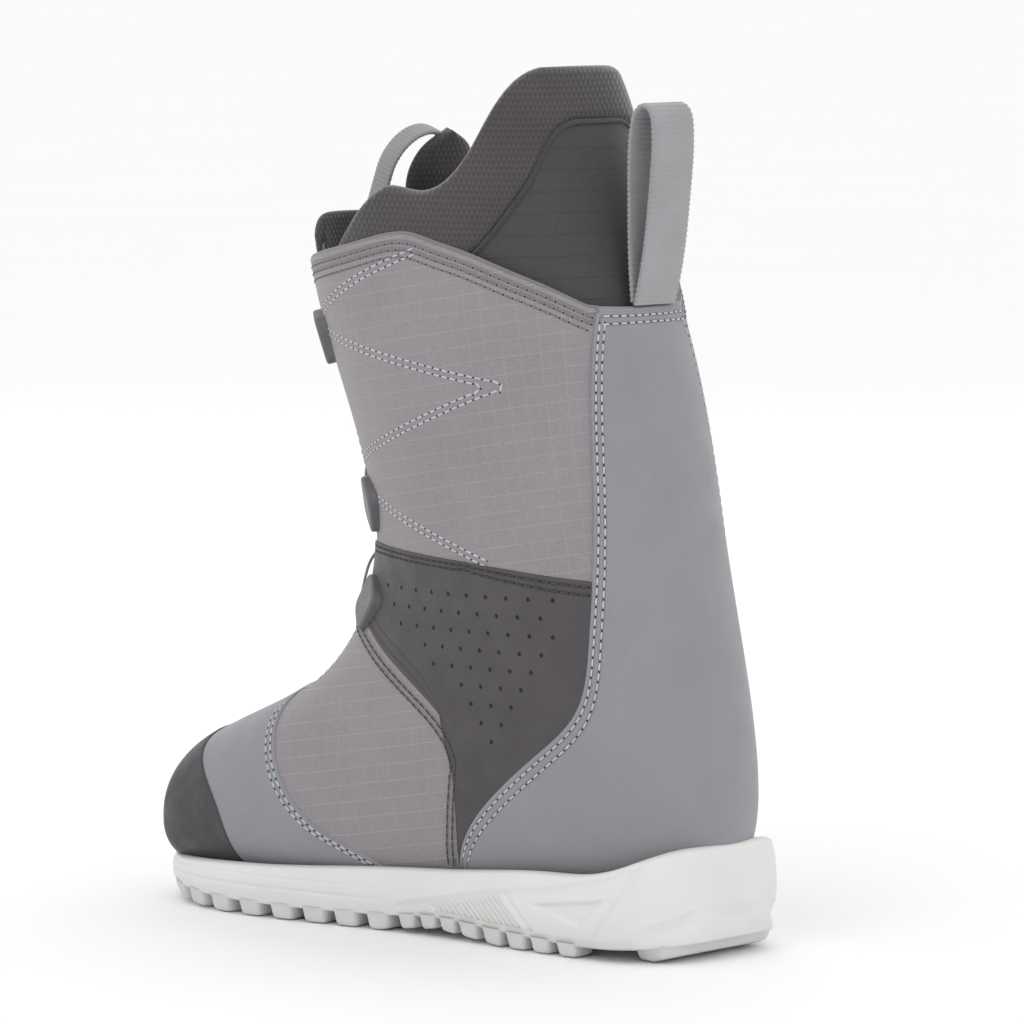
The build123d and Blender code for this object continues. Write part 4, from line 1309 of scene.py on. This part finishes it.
arc = np.where(arc > half_way, step.sum() - arc, arc)
top_z = natural_spline(*np.array(SOLE_TOP, float).T)(rim[:, 0])
low_z = natural_spline(*np.array(PLATE_BOTTOM, float).T)(rim[:, 0]) + 0.4


def to_line(a, z, points):
    """Distance of side points (arc from the heel, height) from a run of straight lines."""
    best = np.full(np.broadcast(a, z).shape, 1e3)
    for (a0, z0), (a1, z1) in zip(points, points[1:]):
        da, dz = a1 - a0, z1 - z0
        t = np.clip(((a - a0) * da + (z - z0) * dz) / (da * da + dz * dz), 0, 1)
        best = np.minimum(best, np.hypot(a - a0 - t * da, z - z0 - t * dz))
    return best


def inside(a, z, corners, soft=1.2):
    """1 inside a convex outline of side points, 0 outside, with a soft edge."""
    depth = np.full(np.broadcast(a, z).shape, 1e3)
    middle = np.mean(corners, axis=0)
    for (a0, z0), (a1, z1) in zip(corners, corners[1:] + corners[:1]):
        na, nz = z1 - z0, a0 - a1
        if (middle[0] - a0) * na + (middle[1] - z0) * nz < 0:
            na, nz = -na, -nz
        depth = np.minimum(depth, ((a - a0) * na + (z - z0) * nz) / np.hypot(na, nz))
    t = np.clip(depth / soft, 0, 1)
    return t * t * (3 - 2 * t)


def relief(a, z):
    """Height of the sole's side in mm: a sunk lower band, ribs, a recess and heel facets."""
    groove = [(168, 11), (156, 14.2), (133, 18.7), (111, 23), (84, 26.7), (60, 32), (47, 38)]
    line_z = np.interp(a, [p[0] for p in groove[::-1]], [p[1] for p in groove[::-1]])
    below = np.clip((line_z - z) / 1.2, 0, 1) * np.clip((a - 44) / 4, 0, 1)
    below *= np.clip((172 - a) / 14, 0, 1)
    height = -0.9 * below - 0.5 * np.exp(-(to_line(a, z, groove) / 0.8)**2)
    ribs = inside(a, z, [(156, 13.5), (114, 22), (94, 3), (136, 2)], 3.0)
    height = height + ribs * 0.6 * (np.cos(2 * np.pi * (a - z) / 3.1) - 1)
    height = height - 0.6 * np.exp(-(to_line(a, z, [(110, 21.5), (92, 3)]) / 0.9)**2)
    height = height - 1.6 * inside(a, z, [(99, 19.6), (58, 25), (71, 11.5)], 2.2)
    height = height - 0.7 * np.exp(-(to_line(a, z, [(44, 38), (52, 26), (64, 9)]) / 1.0)**2)
    height = height + 0.8 * inside(a, z, [(45, 38), (26, 47), (26, 18), (61, 12)], 9.0)
    facet = inside(a, z, [(43, 15.6), (22, 23.5), (19, 13), (30, 7.5), (46, 7)], 7.0)
    height = height - 1.5 * facet
    height = height - 1.3 * inside(a, z, [(18, 21), (-12, 26), (-12, 12), (9, 10)], 7.0)
    height = height + 0.35 * np.exp(-(to_line(a, z, [(41, 15.6), (21, 22.8), (17, 12)]) / 0.9)**2)
    front = np.clip((a - 172) / 20, 0, 1)
    height = height - 0.45 * front * np.exp(-((z - 12.6) / 0.7)**2)
    return height - 0.25 * front * np.exp(-((z - 17.0) / 0.6)**2)


rows = 46
t = np.linspace(0, 1, rows)[:, None]
z = low_z + (top_z - low_z) * t
out = 0.9 + 1.4 * np.sin(np.pi * np.clip(t, 0, 1))**0.8 - 0.6 * t + relief(arc[None], z)
shoulder = np.clip((top_z - z) / 1.6, 0, 1)
out = out - 1.5 * (1 - np.sqrt(1 - (1 - shoulder)**2))
under = np.array([(-3.0, 0.2), (-0.6, 0.0), (0.4, 0.05)])
over = np.array([(-2.6, 0.15), (-4.5, 0.0), (-9.0, -0.7), (-14.0, -2.5), (-15.0, -9.0)])
offsets = np.concatenate([np.repeat(under[:, :1], len(arc), 1), out,
                          np.repeat(over[:, :1], len(arc), 1)])
heights = np.concatenate([low_z + under[:, 1:], z, top_z + over[:, 1:]])
side_points = np.stack([rim[:, 0] + aside[:, 0] * offsets, rim[:, 1] + aside[:, 1] * offsets,
                        heights], -1)
midsole = new_object("midsole_skin", side_points,
                     grid_faces(*offsets.shape, wrap=True, flip=True), PAINT["sole"],
                     slot="sole_foam")
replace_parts(midsole, "midsole")


# ---------------------------------------------------------------------------- outsole
GROUND = [(-60, 8), (-45, 4), (-30, 0), (40, 0), (56, 1.5), (75, 3.2), (94, 1.5), (104, 0),
          (185, 0), (215, 1.2), (255, 6)]
plate_z = natural_spline(*np.array(PLATE_BOTTOM, float).T)
tread_points, tread_faces = [], []


def ground_z(x):
    """Height of the tread's underside along the sole."""
    return np.interp(x, *np.array(GROUND, float).T)


def lug(centre, along, half_length, half_width, power=5.0, corners=None):
    """A tapered tread block with round edges, from inside the plate down to the ground."""
    a = np.linspace(0, 2 * np.pi, 28, endpoint=False)
    if corners:
        turn = (a * corners / (2 * np.pi)) % 1.0 * 2 * np.pi / corners - np.pi / corners
        radius = np.cos(np.pi / corners) / np.cos(turn)
        radius = 1 / (1 + (1 / radius - 1) * 0.85)
        plan = np.stack([np.cos(a) * radius * half_length, np.sin(a) * radius * half_width], -1)
    else:
        plan = np.stack([half_length * np.sign(np.cos(a)) * np.abs(np.cos(a))**(2 / power),
                         half_width * np.sign(np.sin(a)) * np.abs(np.sin(a))**(2 / power)], -1)
    along = np.asarray(along, float) / np.hypot(*along)
    across = np.array([-along[1], along[0]])
    spots = (centre + plan[:, :1] * along + plan[:, 1:] * across)
    low = ground_z(spots[:, 0])
    high = plate_z(spots[:, 0]) + 1.2
    start = sum(len(p) for p in tread_points)
    middle = np.asarray(centre, float)
    small = min(half_length, half_width)
    for share, inset in ((1, -0.9), (0.72, -0.35), (0.3, 0.1), (0.1, 0.45), (0.0, 1.1)):
        scale = 1 - inset / small
        ring = middle + (spots - middle) * scale
        tread_points.append(np.column_stack([ring, low + (high - low) * share]))
    tread_points.append(np.array([[*middle, ground_z(middle[0])]]))
    tread_faces.extend(grid_faces(5, 28, start, wrap=True).tolist())
    last_ring = start + 4 * 28
    tread_faces.extend([start + 140, last_ring + i, last_ring + (i + 1) % 28] for i in range(28))


def edge_lug(x, side, half_length, width):
    """A block set in from the sole's rim, turned along it."""
    near = np.where(np.sign(rim[:, 1]) == side, np.abs(rim[:, 0] - x), 1e3).argmin()
    out_from = rim[near] + aside[near] * (0.4 - width / 2)
    lug(out_from, forward[near], half_length, width / 2)


FOREFOOT_LUGS, ARCH_LUGS, HEEL_LUGS = (
    ((105, 121, 137, 153, 170, 187, 203, 218, 231), 5.6, 14), ((68, 79, 90), 3.9, 9),
    ((57, 44, 31, 17.5, 4), 4.8, 13))
for side in (1, -1):
    for places, half_length, width in (FOREFOOT_LUGS, ARCH_LUGS, HEEL_LUGS):
        for x in places:
            edge_lug(x, side, half_length, width)
for x in (118, 140, 162, 184, 206):
    for y in (-11, 13):
        lug((x, y), (1, 0), 9.5, 9.5, corners=6)
for x in (107, 129, 151, 173, 195, 217):
    lug((x, 1), (1, 0), 8.0, 8.0, corners=3)
lug((0, 0), (1, 0), 13, 17, 8)
for x in (29, 47):
    lug((x, 0), (1, 0), 5.5, 17, 8)
lug((-30, 0), (1, 0), 11, 33, 4)
start = sum(len(p) for p in tread_points)
depths = [(0.5, 3.4, 1), (0.5, 0.9, 1), (0.1, 0.25, 1), (-0.6, 0, 1)]
depths += [(-0.6, 0, share) for share in (0.97, 0.85, 0.65, 0.4, 0.15, 0.0)]
for outward_by, rise, share in depths:
    ring = rim + aside * outward_by
    tread_points.append(np.column_stack([ring[:, 0], ring[:, 1] * share,
                                         plate_z(ring[:, 0]) + rise]))
tread_faces.extend(grid_faces(len(depths), len(rim), start, wrap=True).tolist())
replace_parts(outward_object("outsole_skin", np.concatenate(tread_points), tread_faces,
                           PAINT["outsole"], slot="sole_rubber"), "outsole")


# -------------------------------------------------------------------- floor, light, camera
FLOOR_SIZE = 400
bpy.ops.mesh.primitive_plane_add(size=FLOOR_SIZE, location=(0, 0, -0.0006))
floor = bpy.context.object
floor.name = "floor"
pale = Paint("pale_floor", 0.85)
pale.colour(shaded(pale, (0.96, 0.96, 0.96), 0.005, 400, 3, 0.2))
floor.data.materials.append(pale.material)

world = bpy.data.worlds.new("studio")
world.use_nodes = True
world.node_tree.nodes["Background"].inputs["Color"].default_value = (1, 1, 1, 1)
world.node_tree.nodes["Background"].inputs["Strength"].default_value = 1.0
bpy.context.scene.world = world


def softbox(name, place, aim, size, power):
    """A round area lamp turned towards a point."""
    lamp = bpy.data.lights.new(name, "AREA")
    lamp.shape, lamp.size, lamp.energy = "DISK", size, power
    holder = bpy.data.objects.new(name, lamp)
    holder.location = place
    holder.rotation_euler = (Vector(aim) - Vector(place)).to_track_quat("-Z", "Y").to_euler()
    bpy.context.scene.collection.objects.link(holder)


softbox("key", (-0.3, 1.9, 1.9), (0.08, 0, 0.16), 1.3, 6)
softbox("fill", (-2.2, 0.4, 1.2), (0.08, 0, 0.16), 1.6, 4)
softbox("front", (1.6, -1.2, 1.6), (0.08, 0, 0.16), 1.4, 4)

azimuth, elevation, distance = deg(222), deg(5.2), 2.6
target = Vector((0.090, 0, 0.180))
back = Vector((np.sin(azimuth) * np.cos(elevation), -np.cos(azimuth) * np.cos(elevation),
               np.sin(elevation)))
camera = bpy.data.cameras.new("camera")
camera.sensor_width = 36
camera.lens = 2.461 * distance * 1000 / 1024 * 36
camera.shift_x, camera.shift_y = 0.0327, -0.0293
holder = bpy.data.objects.new("camera", camera)
holder.location = target + back * distance
holder.rotation_euler = (-back).to_track_quat("-Z", "Y").to_euler()
bpy.context.scene.collection.objects.link(holder)
bpy.context.scene.camera = holder
bpy.context.scene.view_settings.view_transform = "Standard"
